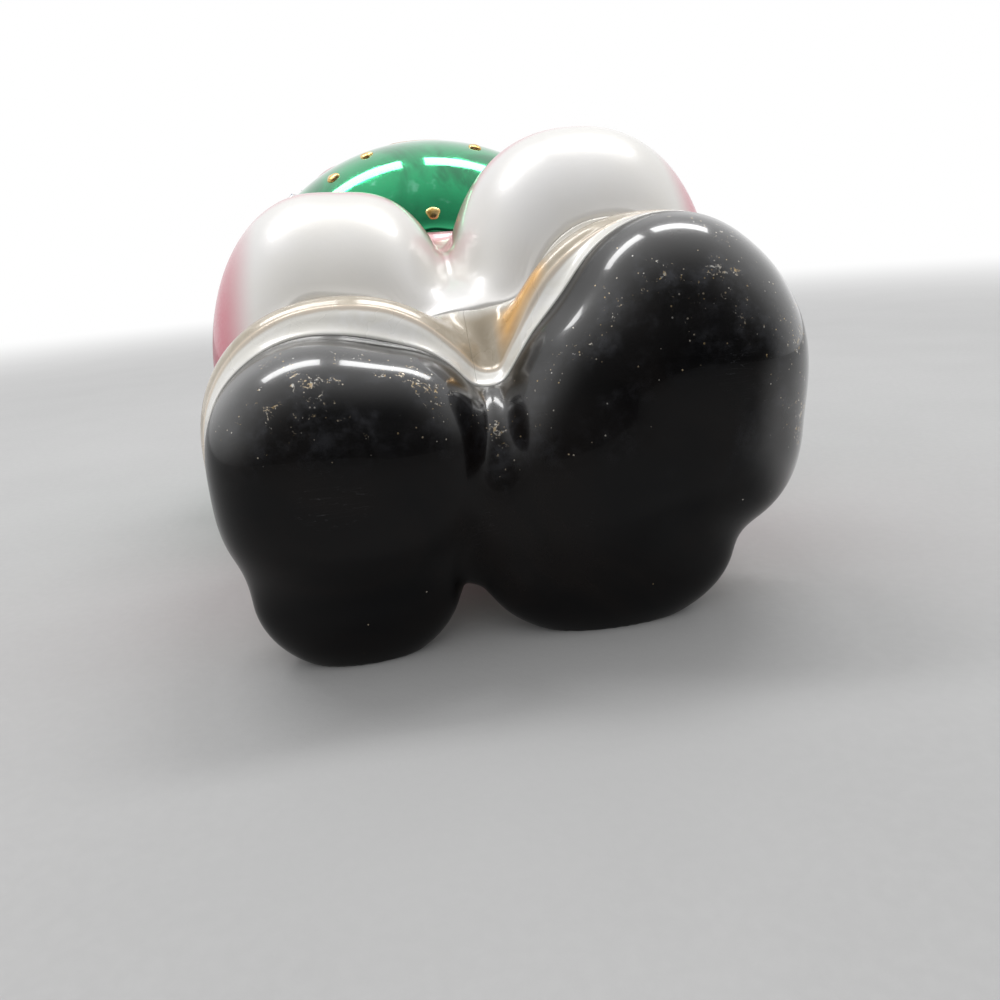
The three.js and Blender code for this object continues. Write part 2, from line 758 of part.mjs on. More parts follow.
// The hanger: one spring wire with a round loop above the cap and two legs that spread inside the neck.
function springHanger() {
  const top = neckEnd + paintGap + capWall;
  const half = wireSpacing / 2;
  const centreRadius = loopInnerRadius + wireDiameter / 2;
  const footOfLoop = Math.asin(half / centreRadius);
  const loopCentre = top + wireDiameter / 2 + centreRadius * Math.cos(footOfLoop) + 1.4;
  const legReach = neckRadius - glassWall - slidingClearance - wireDiameter / 2;
  const side = (sign, y, x) => new THREE.Vector3(sign * x, y, neckHeight);
  const leg = (sign) => [
    side(sign, top - legLength, legReach * 0.82),
    side(sign, top - legLength * 0.78, legReach),
    side(sign, top - legLength * 0.5, (legReach + half) / 2),
    side(sign, top - legLength * 0.34, half),
    side(sign, top - capWall, half),
    side(sign, top + 0.9, half),
  ];
  const open = footOfLoop + 0.32;
  const loop = Array.from({ length: 15 }, (_, i) => {
    const turn = Math.PI + open + ((2 * Math.PI - 2 * open) * i) / 14;
    const y = loopCentre + centreRadius * Math.cos(turn);
    return new THREE.Vector3(centreRadius * Math.sin(turn), y, neckHeight);
  });
  const points = [...leg(-1), ...loop, ...leg(1).reverse()];
  const route = new THREE.CatmullRomCurve3(points, false, "centripetal");
  const section = new THREE.Shape().absarc(0, 0, wireDiameter / 2, 0, 2 * Math.PI);
  const wire = new THREE.ExtrudeGeometry(section, { steps: 46, curveSegments: 3, extrudePath: route });
  return named("spring_hanger", geometryFrom(solidOf(wire)), steel);
}

function ornament() {
  const form = figureForm();
  const { lines, lastRow, placed } = rays();
  const layerAt = (offset) => lines.map((ray) => skinPoint(form, ray, offset));
  const figure = new THREE.Group();
  figure.add(named("glass_body", shellBetween(layerAt(-glassWall), layerAt(0), -1, lastRow), glass));
  figure.add(...paintedCoats(layerAt, placed));
  const hanging = new THREE.Group();
  hanging.add(crownCap(), springHanger());
  figure.add(hanging);
  return figure;
}

// The finished part, with its origin under the middle of its box, on the table.
const part = new THREE.Group();
const figure = ornament();
const box = new THREE.Box3().setFromObject(figure);
const middle = box.getCenter(new THREE.Vector3());
figure.position.set(-middle.x, -middle.y, -box.min.z);
part.add(figure);

export default part;
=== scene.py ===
# Blown glass Santa ornament, lying on its back and seen from its soles.
# The blower's order is followed: glass, lacquers from the boots up, frosting, gilding, then cap and hanger.
import math

import bpy
import numpy as np
from mathutils import Matrix, Vector


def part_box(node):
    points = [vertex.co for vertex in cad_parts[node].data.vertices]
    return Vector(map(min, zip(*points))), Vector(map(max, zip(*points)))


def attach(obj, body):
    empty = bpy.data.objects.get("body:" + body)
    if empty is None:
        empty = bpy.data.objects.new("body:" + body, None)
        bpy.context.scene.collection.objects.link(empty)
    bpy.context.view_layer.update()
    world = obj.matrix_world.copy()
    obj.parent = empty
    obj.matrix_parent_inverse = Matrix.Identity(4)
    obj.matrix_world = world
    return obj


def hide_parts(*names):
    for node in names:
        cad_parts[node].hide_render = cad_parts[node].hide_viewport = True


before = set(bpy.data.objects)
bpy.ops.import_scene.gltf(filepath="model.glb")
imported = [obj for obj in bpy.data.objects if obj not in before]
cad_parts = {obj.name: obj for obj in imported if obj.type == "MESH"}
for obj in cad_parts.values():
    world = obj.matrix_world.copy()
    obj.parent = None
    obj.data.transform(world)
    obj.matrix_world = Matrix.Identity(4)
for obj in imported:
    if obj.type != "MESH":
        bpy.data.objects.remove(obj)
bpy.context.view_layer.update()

# Camera. A phone held a little above the table and close to the soles, where its wide lens draws the near
# boots large and hides all that lies past the belly. It is turned slightly and tilted.
camera_place = (-0.0086, -0.1418, 0.0377)
focal_length = 29.4
yaw, pitch, roll = (math.radians(angle) for angle in (7.0, 16.94, 5.2))
forward = Vector((math.sin(yaw) * math.cos(pitch), math.cos(yaw) * math.cos(pitch), -math.sin(pitch)))
level = Vector((math.cos(yaw), -math.sin(yaw), 0))
upright = level.cross(forward)
right = level * math.cos(roll) - upright * math.sin(roll)
camera = bpy.data.objects.new("camera", bpy.data.cameras.new("camera"))
camera.matrix_world = Matrix((right, right.cross(forward), -forward)).transposed().to_4x4()
camera.location = camera_place
camera.data.lens = focal_length
camera.data.clip_start = 0.002
bpy.context.scene.collection.objects.link(camera)
bpy.context.scene.camera = camera

# Glass. One thin wall blown into a carved mould, so it carries every form of the figure, and silvered
# inside. Its neck stays open: the hanger's legs go into it. Sizes here are millimetres from the soles and
# the table. Left and right sizes are as the camera sees them; pieces are named by the figure's own sides.
glass_wall = 0.9
coat_lift = 0.3
coat_thickness = 0.4
boot_length = 10.2
cuff_length = 6.6
trouser_length = 25.3
belt_from_hem = 19.4
belt_width = 5.6
coat_length = 59
hair_length = 11.6
hat_band_width = 9.6
hat_length = 15
neck_length = 7.4
spread = 15.2
boot_half_depth = 10.6
left_boot_half_width = 13
right_boot_half_width = 14
left_toe_height = 30.5
right_toe_height = 39.2
left_heel_half_width = 9.6
right_heel_half_width = 12.6
heel_height = 15.4
cuff_rise = 3.6
trouser_half_width = 14.4
left_trouser_height = 45.1
right_trouser_height = 49.9
belly_half_width = 28.8
belly_height = 53.4
chest_half_width = 22
waist_depth = 1.7
sleeve_radius = 6.6
mitten_half_length = 6.4
head_half_width = 15
face_half_width = 11.55
head_below_belly = 17.1
nose_radius = 2.8
beard_half_width = 12.4
hat_band_half_width = 18
hat_band_above_head = 2.1
pompom_radius = 5.3
neck_radius = 4.9
neck_height = 20

cuff_start = boot_length
trouser_start = cuff_start + cuff_length
hem = trouser_start + trouser_length
belt_start = hem + belt_from_hem
belt_end = belt_start + belt_width
hat_start = hem + coat_length
crown_start = hat_start + hat_band_width
neck_start = crown_start + hat_length
neck_end = neck_start + neck_length
coat_top = coat_lift + coat_thickness
head_height = belly_height - head_below_belly
hat_band_height = head_height + hat_band_above_head
belly_at = hem + 18.6
mitten_at = belt_end + 4.8
head_at = hat_start - 5
cap_top = neck_end + coat_lift + 0.4
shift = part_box("crown_cap")[1][1] * 1000 - cap_top


def lump(x, y, z, half_x, half_y, half_z, power=2.0):
    """About the distance to an egg-shaped lump, negative inside. A higher power makes it boxier."""
    centre = np.array([x, y, z])
    half = np.array([half_x, half_y, half_z])

    def form(p):
        u = np.abs(p - centre) / half
        k = (u**power).sum(1) ** (1 / power)
        slope = np.sqrt(((u ** (power - 1) / half) ** 2).sum(1)) * np.maximum(k, 1e-6) ** (1 - power)
        return (k - 1) / np.maximum(slope, 1e-9)

    return form


def lump_between(x, y, bottom, top, half_x, half_y, power=2.0):
    return lump(x, y, (top + bottom) / 2, half_x, half_y, (top - bottom) / 2, power)


def limb(start, end, start_radius, end_radius):
    """Distance to a round limb that changes radius on its way."""
    start = np.array(start, float)
    run = np.array(end, float) - start

    def form(p):
        q = p - start
        share = np.clip(q @ run / (run @ run), 0, 1)
        gap = q - share[:, None] * run
        return np.sqrt((gap * gap).sum(1)) - (start_radius + (end_radius - start_radius) * share)

    return form


def meld(a, b, soft):
    h = np.maximum(soft - np.abs(a - b), 0) / soft
    return np.minimum(a, b) - h * h * soft / 4


def joined(forms, soft):
    def form(p):
        least = forms[0](p)
        for other in forms[1:]:
            least = meld(least, other(p), soft)
        return least

    return form


side = boot_half_depth
heel_at = side - 4
heel_half_depth = 4.4
boots = joined(
    [
        # the two toes, each a rounded block with a fuller rise on it
        lump_between(-spread + 2.2, side, 6.6, left_toe_height - 1.1, left_boot_half_width, side, 2.7),
        lump_between(-spread - 0.2, side, 12.8, left_toe_height, left_boot_half_width * 0.7, side - 0.7),
        lump_between(spread + 2.8, side, 7.4, right_toe_height - 6.2, right_boot_half_width, side, 2.6),
        lump_between(
            spread + 4.6, side - 0.5, 14.8, right_toe_height, right_boot_half_width * 0.78, side - 0.5
        ),
        lump_between(
            spread + 9, side - 0.5, 16, right_toe_height - 4.2, right_boot_half_width * 0.55, side - 0.8
        ),
        # the inner side of the lifted boot, the two heels, and the web between the boots
        lump_between(spread - 5, side + 0.3, 4.6, 27, 9.2, side - 0.3, 2.5),
        lump_between(-spread + 1.2, heel_at, -0.8, heel_height, left_heel_half_width, heel_half_depth),
        lump_between(spread - 3.6, heel_at, -0.8, heel_height, right_heel_half_width, heel_half_depth),
        lump_between(0.5, side + 2, 4.4, left_toe_height - 6.6, 9, 9),
    ],
    2.2,
)
cuff_at = cuff_start + cuff_length * 0.62
cuff_half = cuff_length * 0.644
left_cuff_half = left_boot_half_width + 1.2
right_cuff_half = right_boot_half_width + 1.3
boot_cuffs = joined(
    [
        lump_between(
            -spread + 2.1, cuff_at, 5.4, left_toe_height + cuff_rise, left_cuff_half, cuff_half, 2.2
        ),
        lump_between(spread + 3.4, cuff_at, 5.4, right_toe_height + 0.4, right_cuff_half, cuff_half, 2.1),
    ],
    1.2,
)
leg_half = trouser_length / 2 + 3.3
leg_at = trouser_start + leg_half - 1
inner_leg_at = -spread + 6.2
trousers = joined(
    [
        lump_between(-spread + 0.5, leg_at, 5, left_trouser_height, trouser_half_width - 1.2, leg_half),
        lump_between(
            inner_leg_at,
            leg_at + 1,
            15.4,
            left_trouser_height - 0.5,
            trouser_half_width - 5.4,
            leg_half - 1,
        ),
        lump_between(
            spread + 0.3, leg_at, 6.2, right_trouser_height, trouser_half_width + 1, leg_half, 2.3
        ),
        # the web between the legs
        lump_between(0.4, leg_at + 2, 7, left_trouser_height - 17, spread, leg_half + 2),
        limb([0.6, cuff_start + 4, 16.4], [-0.4, hem + 3.4, 30.8], 8, 9.4),
    ],
    2.4,
)
torso = joined(
    [
        # belly, chest and the coat's hem
        lump_between(0, belly_at, -1.5, belly_height, belly_half_width, 20.6),
        lump_between(0, hat_start - 22, 3.6, belly_height - 9, chest_half_width, 17),
        lump_between(0, hem + 4.4, 3.4, belly_height - 15.4, belly_half_width - 2, 3.6),
    ],
    3,
)


def wrist(way):
    return [way * 16.6, mitten_at, belly_height - 11.4]


def arm(way):
    shoulder = [way * (chest_half_width - 2.4), hat_start - 17, 24]
    elbow = [way * (belly_half_width - 1.2), mitten_at - 1.6, 21]
    upper = limb(shoulder, elbow, sleeve_radius + 1.4, sleeve_radius)
    return joined([upper, limb(elbow, wrist(way), sleeve_radius, sleeve_radius - 0.8)], 2)


def sleeve_fur(way):
    return lump(*wrist(way), sleeve_radius + 0.3, sleeve_radius + 0.4, sleeve_radius - 0.5)


def mitten_centre(way):
    return [way * 10, mitten_at + 0.4, belly_height - 5.6]


def mitten(way):
    x, y, z = mitten_centre(way)
    palm = lump(x, y, z, mitten_half_length, 5.6, 4.4)
    return joined([palm, lump(x - way * 3.4, y - 5, z - 0.4, 3.2, 2.4, 2.6)], 1.2)


head = joined(
    [
        # skull, two cheeks and forehead
        lump_between(0, head_at, 3.6, head_height, head_half_width, 14.4),
        lump(-6.3, head_at - 0.9, head_height - 3.2, 5, 4.6, 4),
        lump(6.3, head_at - 0.9, head_height - 3.2, 5, 4.6, 4),
        lump(0, head_at + 4.6, head_height - 3.4, 9, 2.6, 3.4),
    ],
    2.4,
)
nose = lump(0, head_at + 0.2, head_height + 0.9, nose_radius, nose_radius + 0.3, nose_radius)
beard = joined(
    [
        # the beard, its tip, and the two swellings under the moustache
        lump(0, head_at - 10, head_height - 2.6, beard_half_width, 10, 9.6),
        lump(0, head_at - 15.5, head_height + 3.2, beard_half_width * 0.7, 8.6, 7),
        lump(-4.7, head_at - 4.2, head_height + 0.4, 5.6, 2.8, 3),
        lump(4.7, head_at - 4.2, head_height + 0.4, 5.6, 2.8, 3),
    ],
    1.6,
)
hat_band = lump_between(
    0, hat_start + hat_band_width / 2, -1.4, hat_band_height, hat_band_half_width, hat_band_width * 0.56
)
hat_tail = [hat_band_half_width - 4, crown_start + 2.2, neck_height + 7]
hat = joined(
    [
        limb([0, crown_start - 3, neck_height], [0, neck_start - 6, neck_height], 14.6, 6.2),
        limb([5, neck_start - 8.4, neck_height + 2], hat_tail, 6.4, 4.8),
    ],
    2.4,
)
pompom_centre = [hat_band_half_width, crown_start - 2.6, neck_height + 11]
pompom = lump(*pompom_centre, pompom_radius, pompom_radius, pompom_radius)
stem = limb(
    [0, crown_start, neck_height], [0, neck_end + neck_length, neck_height], neck_radius, neck_radius
)
crotch = lump_between(1.2, hem - 20.5, 4, 33, 7, 7.4, 2.4)
soft_forms = joined([joined([boots, boot_cuffs, trousers, torso, head], 1.6), crotch], 4)
hands = [form(way) for way in (-1, 1) for form in (arm, sleeve_fur, mitten)]
raised_forms = joined([*hands, nose, beard, hat_band, hat, pompom], 0.9)


def drawn_in(y):
    """How far the belt draws in the belly at given lengths."""
    return waist_depth * np.exp(-(((y - (belt_start + belt_end) / 2) / (belt_width * 0.6)) ** 2))


def figure(p):
    """The outside of the glass as one distance, cut flat where it rests on the table."""
    skin = meld(meld(soft_forms(p) + drawn_in(p[:, 1]), raised_forms(p), 1.2), stem(p), 1.6)
    return np.maximum(skin, coat_top - p[:, 2])


plain_forms = joined([arm(-1), arm(1), nose, hat_band, hat], 0.9)


def dressed(p):
    """The body under its coats, without the mittens and the frosted lumps that are laid on it."""
    skin = meld(meld(soft_forms(p) + drawn_in(p[:, 1]), plain_forms(p), 1.2), stem(p), 1.6)
    return np.maximum(skin, coat_top - p[:, 2])


def cast(form, centres, directions, offset, reach=60.0):
    """The outermost points on rays that lie at the given distance from a form."""
    count = len(centres)
    outside = np.full(count, reach)
    inside = outside.copy()
    offset = np.broadcast_to(offset, count)
    active = np.arange(count)
    while len(active):
        at = centres[active] + inside[active, None] * directions[active]
        gap = form(at) - offset[active]
        out = gap > 0
        active, gap = active[out], gap[out]
        outside[active] = inside[active]
        inside[active] -= np.maximum(0.1, gap * 0.6)
        active = active[inside[active] > 0]
    inside = np.maximum(inside, 0)
    for _ in range(14):
        middle = (inside + outside) / 2
        out = form(centres + middle[:, None] * directions) > offset
        outside = np.where(out, middle, outside)
        inside = np.where(out, inside, middle)
    return centres + ((inside + outside) / 2)[:, None] * directions


def slope_of(form, p):
    """Unit outward normals of a form at points near its skin."""
    step = 0.02
    rise = [form(p + step * axis) - form(p - step * axis) for axis in np.eye(3)]
    normal = np.stack(rise, 1)
    return normal / np.maximum(np.linalg.norm(normal, axis=1, keepdims=True), 1e-9)


core_stations = [
    boot_length,
    trouser_start,
    trouser_start + 6,
    trouser_start + 11,
    belly_at,
    hat_start - 22,
    head_at,
    neck_end,
]
core_heights = [14.6, 15, 17.6, 20, 26, 24, neck_height, neck_height]


def ring_rays(along, tilts, turns):
    """Rays from the core line, by length along the body, tilt from the soles' direction and turn round it."""
    centres = np.stack([np.zeros_like(along), along, np.interp(along, core_stations, core_heights)], -1)
    out = np.sin(tilts)
    directions = np.stack([np.cos(turns) * out, -np.cos(tilts), np.sin(turns) * out], -1)
    return centres.reshape(-1, 3), directions.reshape(-1, 3)


def mesh_object(name, points, faces, material, body="figure", marks=None, grow=None):
    """A smooth mesh object from millimetre points, with its marks as point attributes, riding on a body."""
    mesh = bpy.data.meshes.new(name)
    placed = (np.asarray(points, float) + (0, shift, 0)) / 1000
    faces = [np.asarray(group, np.int32) for group in faces if len(group)]
    corners = np.concatenate([group.ravel() for group in faces])
    sizes = np.concatenate([np.full(len(group), group.shape[1]) for group in faces])
    mesh.vertices.add(len(placed))
    mesh.vertices.foreach_set("co", placed.ravel())
    mesh.loops.add(len(corners))
    mesh.loops.foreach_set("vertex_index", corners)
    mesh.polygons.add(len(sizes))
    mesh.polygons.foreach_set("loop_start", np.concatenate([[0], np.cumsum(sizes)[:-1]]))
    mesh.polygons.foreach_set("use_smooth", np.ones(len(sizes), bool))
    mesh.update(calc_edges=True)
    mesh.validate()
    for mark, values in (marks or {}).items():
        layer = mesh.attributes.new(mark, "FLOAT", "POINT").data
        layer.foreach_set("value", np.asarray(values, float).ravel())
    mesh.materials.append(material)
    piece = bpy.data.objects.new(name, mesh)
    bpy.context.scene.collection.objects.link(piece)
    if grow:
        grow(piece)
    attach(piece, body)
    return piece


def grid_faces(rows, columns, closed=True, looped=False):
    """Quads between neighbouring rows of a grid, whose columns may close round it and whose rows may loop."""
    steps = np.arange(rows if looped else rows - 1), np.arange(columns if closed else columns - 1)
    row, column = np.meshgrid(*steps, indexing="ij")
    this, following = row * columns, (row + 1) % rows * columns
    beside = (column + 1) % columns
    corners = [this + column, following + column, following + beside, this + beside]
    return np.stack(corners, -1).reshape(-1, 4)


class Nodes:
    """A node tree under construction: each call adds a node and links or sets its inputs."""

    def __init__(self, tree):
        self.tree = tree

    def put(self, socket, value):
        if isinstance(value, bpy.types.NodeSocket):
            self.tree.links.new(value, socket)
        else:
            socket.default_value = value

    def add(self, kind, inputs=None, **settings):
        node = self.tree.nodes.new(kind)
        for key, value in settings.items():
            setattr(node, key, value)
        for key, value in (inputs or {}).items():
            self.put(node.inputs[key], value)
        return node

    def math(self, operation, a, b=0.0, c=0.0):
        return self.add("ShaderNodeMath", {0: a, 1: b, 2: c}, operation=operation).outputs[0]


class Shader(Nodes):
    """A node material: its surface, the place on the object, and the patterns that the pieces share."""

    def __init__(self, name):
        self.material = bpy.data.materials.new(name)
        self.material.use_nodes = True
        super().__init__(self.material.node_tree)
        self.surface = self.tree.nodes["Principled BSDF"]
        self.place = self.add("ShaderNodeTexCoord").outputs["Object"]

    def set(self, **inputs):
        for key, value in inputs.items():
            self.put(self.surface.inputs[key.replace("_", " ").title().replace("Ior", "IOR")], value)

    def noise(self, scale, detail=3.0, roughness=0.55, distortion=0.0, vector=None):
        spec = {"Vector": vector or self.place, "Scale": scale, "Detail": detail, "Roughness": roughness}
        return self.add("ShaderNodeTexNoise", {**spec, "Distortion": distortion}).outputs["Fac"]

    def ramp(self, value, low, high, to_low=0.0, to_high=1.0, smooth=True):
        spec = {"Value": value, "From Min": low, "From Max": high, "To Min": to_low, "To Max": to_high}
        kind = "SMOOTHSTEP" if smooth else "LINEAR"
        return self.add("ShaderNodeMapRange", spec, interpolation_type=kind, clamp=True).outputs["Result"]

    def mix(self, share, a, b):
        node = self.add("ShaderNodeMix", {"Factor": share}, data_type="RGBA")
        self.put(node.inputs[6], a)
        self.put(node.inputs[7], b)
        return node.outputs[2]

    def mark(self, name):
        return self.add("ShaderNodeAttribute", attribute_name=name).outputs["Fac"]

    def bump(self, height, distance, strength=1.0, base=None):
        spec = {"Height": height, "Distance": distance, "Strength": strength}
        node = self.add("ShaderNodeBump", spec)
        if base:
            self.put(node.inputs["Normal"], base)
        return node.outputs["Normal"]


body_columns = 240
body_step = 0.8
under_coats = 0.02
turns = np.arange(body_columns) * 2 * np.pi / body_columns


def sole_fan(rows, turns):
    """Rays that spread from the ankles over both soles, row by row from their middle to the cuffs."""
    tilts = (np.pi / 2 * (np.arange(1, rows + 1) / rows) ** 0.8)[:, None]
    return ring_rays(np.full((rows, len(turns)), cuff_start), tilts + 0 * turns, turns + 0 * tilts)


fan_rows = 40
stations = np.append(np.arange(cuff_start + body_step, neck_end, body_step), neck_end)[:, None]
body_rays = ring_rays(stations + 0 * turns, np.pi / 2 + 0 * (stations + turns), turns + 0 * stations)
pole = (np.array([[0, cuff_start, core_heights[0]]], float), np.array([[0, -1.0, 0]]))
glass_rays = [np.concatenate(parts) for parts in zip(sole_fan(fan_rows, turns), body_rays, pole)]
outer_glass = cast(figure, *glass_rays, -under_coats)
inner_glass = cast(figure, *glass_rays, -glass_wall)
glass_rows = fan_rows + len(stations)
layer = len(outer_glass)
wall = grid_faces(glass_rows, body_columns)
hub = np.full(body_columns, layer - 1)
first = np.arange(body_columns)
last = first + (glass_rows - 1) * body_columns
tip = np.stack([hub, first, np.roll(first, -1)], 1)
mouth = np.stack([last, last + layer, np.roll(last, -1) + layer, np.roll(last, -1)], 1)
faces = [np.concatenate([wall, wall[:, ::-1] + layer, mouth]), np.concatenate([tip, tip[:, ::-1] + layer])]
silvered = Shader("silvered_glass")
streaks = silvered.noise(220, 4, 0.6, 1.5)
silvered.set(
    base_color=silvered.mix(silvered.ramp(streaks, 0.35, 0.7), (0.78, 0.8, 0.79, 1), (0.93, 0.93, 0.91, 1)),
    metallic=0.92,
    roughness=silvered.ramp(streaks, 0.3, 0.75, 0.05, 0.16),
    coat_weight=1.0,
    coat_roughness=0.03,
    normal=silvered.bump(silvered.noise(90, 2), 0.0002, 0.3),
)
glass = mesh_object(
    "glass_body_blown", np.concatenate([outer_glass, inner_glass]), faces, silvered.material
)
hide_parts("glass_body")


# Boots. Black lacquer dipped over both soles and toes in one stroke: thick and glossy on the rims, duller
# on the soles. It is worn along the toe rims, where flecks of silver and gold show through, and scratched
# in a few places.
def border(grid, normals, closed):
    """The grid with its open edges turned in to the glass, so that the paint ends in a rounded lip."""
    inner = grid - normals * (coat_top + 0.05)
    grid = np.concatenate([inner[:1], grid, inner[-1:]])
    if closed:
        return grid
    inner = np.concatenate([inner[:1], inner, inner[-1:]])
    return np.concatenate([inner[:, :1], grid, inner[:, -1:]], axis=1)


def paint(name, rays, rows, columns, material, relief=None, marks=None, closed=True, tip=None, grow=None):
    """A painted coat where the rays meet the skin, with relief outwards and marks kept as attributes."""
    points = cast(dressed, *rays, coat_top)
    normals = slope_of(dressed, points)
    if relief:
        points = points + normals * relief(points, normals)[:, None]
    shape = (rows, columns, 3)
    grid = border(points.reshape(shape), normals.reshape(shape), closed)
    if tip is not None:
        grid = grid[1:]
    every = grid.reshape(-1, 3)
    faces = [grid_faces(len(grid), grid.shape[1], closed)]
    if tip is not None:
        around = np.arange(columns)
        faces.append(np.stack([np.full(columns, len(every)), around, np.roll(around, -1)], 1))
        every = np.concatenate([every, cast(dressed, *tip, coat_top)])
    every[:, 2] = np.maximum(every[:, 2], 0)
    facing = slope_of(dressed, every)
    values = {mark: spread_of(every, facing) for mark, spread_of in (marks or {}).items()}
    return mesh_object(name, every, faces, material, marks=values, grow=grow)


def crowded(turn, share):
    """Angles drawn together at the top and the bottom of the body, where the two legs meet in a cleft."""
    return turn + share * np.sin(2 * turn)


def coat(
    name,
    start,
    end,
    material,
    step=0.4,
    columns=400,
    arc=(0, 2 * np.pi),
    ragged=0.1,
    seed=1.0,
    crowd=0.0,
    **more,
):
    """A painted coat round the body from one length to another, brushed to slightly uneven edges."""
    closed = arc[1] - arc[0] > 6.2
    turn = crowded(np.linspace(*arc, columns, endpoint=not closed), crowd)
    rows = int((end - start) / step) + 2
    share = np.linspace(0, 1, rows)[:, None]
    wave = ragged * (
        np.sin(5 * turn + seed) * np.sin(11 * turn + 2 * seed) + 0.5 * np.sin(23 * turn + 3 * seed)
    )
    along = start + (end - start) * share + wave * (2 * share - 1) ** 2
    rays = ring_rays(along, np.full(along.shape, np.pi / 2), turn + 0 * along)
    return paint(name, rays, rows, columns, material, closed=closed, **more)


def toe_rim(points, normals):
    """One on the rounded rims between the soles and the toes' tops and outer sides, zero on flat ground."""
    outwards = np.maximum(normals[:, 2], 0.9 * normals[:, 0] * (points[:, 0] > spread))
    band = np.clip(-2.1 * normals[:, 1] * outwards, 0, 1) ** 1.2
    return band * np.clip((points[:, 2] - 10) / 8, 0, 1)


black = Shader("black_lacquer")
smears = black.noise(55, 4, 0.6, 0.9)
rim = black.mark("toe_rim")
clusters = black.ramp(black.noise(170, 4, 0.65), 0.4, 0.58)
worn_zone = black.math("MULTIPLY", rim, clusters)
grain = black.noise(1300, 5, 0.8, 0.4)
chipped = black.ramp(black.math("MULTIPLY_ADD", worn_zone, 0.22, grain), 0.75, 0.79)
flecks = black.add("ShaderNodeTexVoronoi", {"Vector": black.place, "Scale": 2400.0})
lot = black.add("ShaderNodeSeparateColor", {"Color": flecks.outputs["Color"]}).outputs
chance = black.ramp(black.math("MULTIPLY_ADD", worn_zone, 0.3, lot["Red"]), 0.995, 1.0)
fleck = black.math("MULTIPLY", black.ramp(flecks.outputs["Distance"], 0.1, 0.24, 1, 0), chance)
long_way = black.add(
    "ShaderNodeMapping", {"Vector": black.place, "Rotation": (0.2, 0.5, 0.35), "Scale": (60, 60, 900)}
)
strokes = black.noise(3.0, 2, 0.5, 0.3, long_way.outputs[0])
stroke = black.ramp(black.math("ABSOLUTE", black.math("SUBTRACT", strokes, 0.5)), 0.0008, 0.003, 1, 0)
scratch = black.math("MULTIPLY", stroke, black.ramp(black.noise(70, 2), 0.58, 0.66))
metal = black.math("MAXIMUM", chipped, fleck)
bare_metal = black.mix(lot["Green"], (0.62, 0.61, 0.58, 1), (0.5, 0.34, 0.13, 1))
sooty = black.mix(black.ramp(smears, 0.35, 0.75), (0.0016, 0.0016, 0.002, 1), (0.006, 0.0045, 0.004, 1))
# Lighter bluish grey patches on the toe rims under the lamps' reflections: partly dust, partly painted sheen.
dust_and_sheen = black.math("MULTIPLY", worn_zone, black.ramp(black.noise(520, 4, 0.7), 0.4, 0.7))
deep = black.mix(black.math("MULTIPLY", dust_and_sheen, 0.8), sooty, (0.05, 0.052, 0.06, 1))
thick = black.ramp(black.math("MULTIPLY_ADD", smears, 0.2, rim), 0.2, 0.7)
scratched = black.mix(black.math("MULTIPLY", scratch, 0.3), deep, (0.12, 0.12, 0.13, 1))
black.set(
    base_color=black.mix(metal, scratched, bare_metal),
    metallic=metal,
    roughness=black.math(
        "MAXIMUM", black.ramp(smears, 0.3, 0.8, 0.2, 0.3), black.math("MULTIPLY", metal, 0.32)
    ),
    specular_ior_level=black.ramp(thick, 0, 1, 0.12, 0.45, smooth=False),
    coat_weight=black.ramp(thick, 0, 1, 0.12, 1.0, smooth=False),
    coat_roughness=black.ramp(smears, 0.3, 0.8, 0.05, 0.1),
    normal=black.bump(
        black.math("SUBTRACT", black.noise(130, 3), black.math("MULTIPLY", metal, 0.5)), 0.00006, 0.4
    ),
)
sole_columns = 480
sole_rows = 110
sole_rays = sole_fan(sole_rows, crowded(np.arange(sole_columns) * 2 * np.pi / sole_columns, 0.36))
boots_coat = paint(
    "boots_coat", sole_rays, sole_rows, sole_columns, black.material, marks={"toe_rim": toe_rim}, tip=pole
)
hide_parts("boots_lacquer")

# Boot cuffs. A band round each ankle: white silver next to the boot, a hair-thin gold line, then a broad tan
# that fades towards the leg: painted shade on the roll's far slope, with the white as its lit front. The left
# one is orange gold inside the cleft.
cuff_start_line = 0.27
cuff_fade = 0.85


def cuff_share(points, normals):
    return (points[:, 1] - cuff_start) / cuff_length


def cuff_cleft(points, normals):
    """One on the inner side of the left ankle, where the two ankles meet."""
    share = cuff_share(points, normals)
    inner_side = np.clip((3.0 - np.abs(points[:, 0] - 5.6)) / 1.4, 0, 1)
    return inner_side * np.clip((share - 0.25) / 0.2, 0, 1) * np.clip((0.85 - share) / 0.2, 0, 1)


def cuff_relief(points, normals):
    share = cuff_share(points, normals)
    stripe = np.clip(share / 0.04, 0, 1) * np.clip((cuff_start_line - share) / 0.05, 0, 1)
    lip = np.exp(-(((share - cuff_start_line - 0.02) / 0.035) ** 2))
    return 0.12 * stripe + 0.16 * lip


champagne = Shader("champagne_silver")
share = champagne.mark("share")
around = champagne.noise(260, 4, 0.65, 0.7)
uneven = champagne.math("MULTIPLY_ADD", around, 0.06, share)
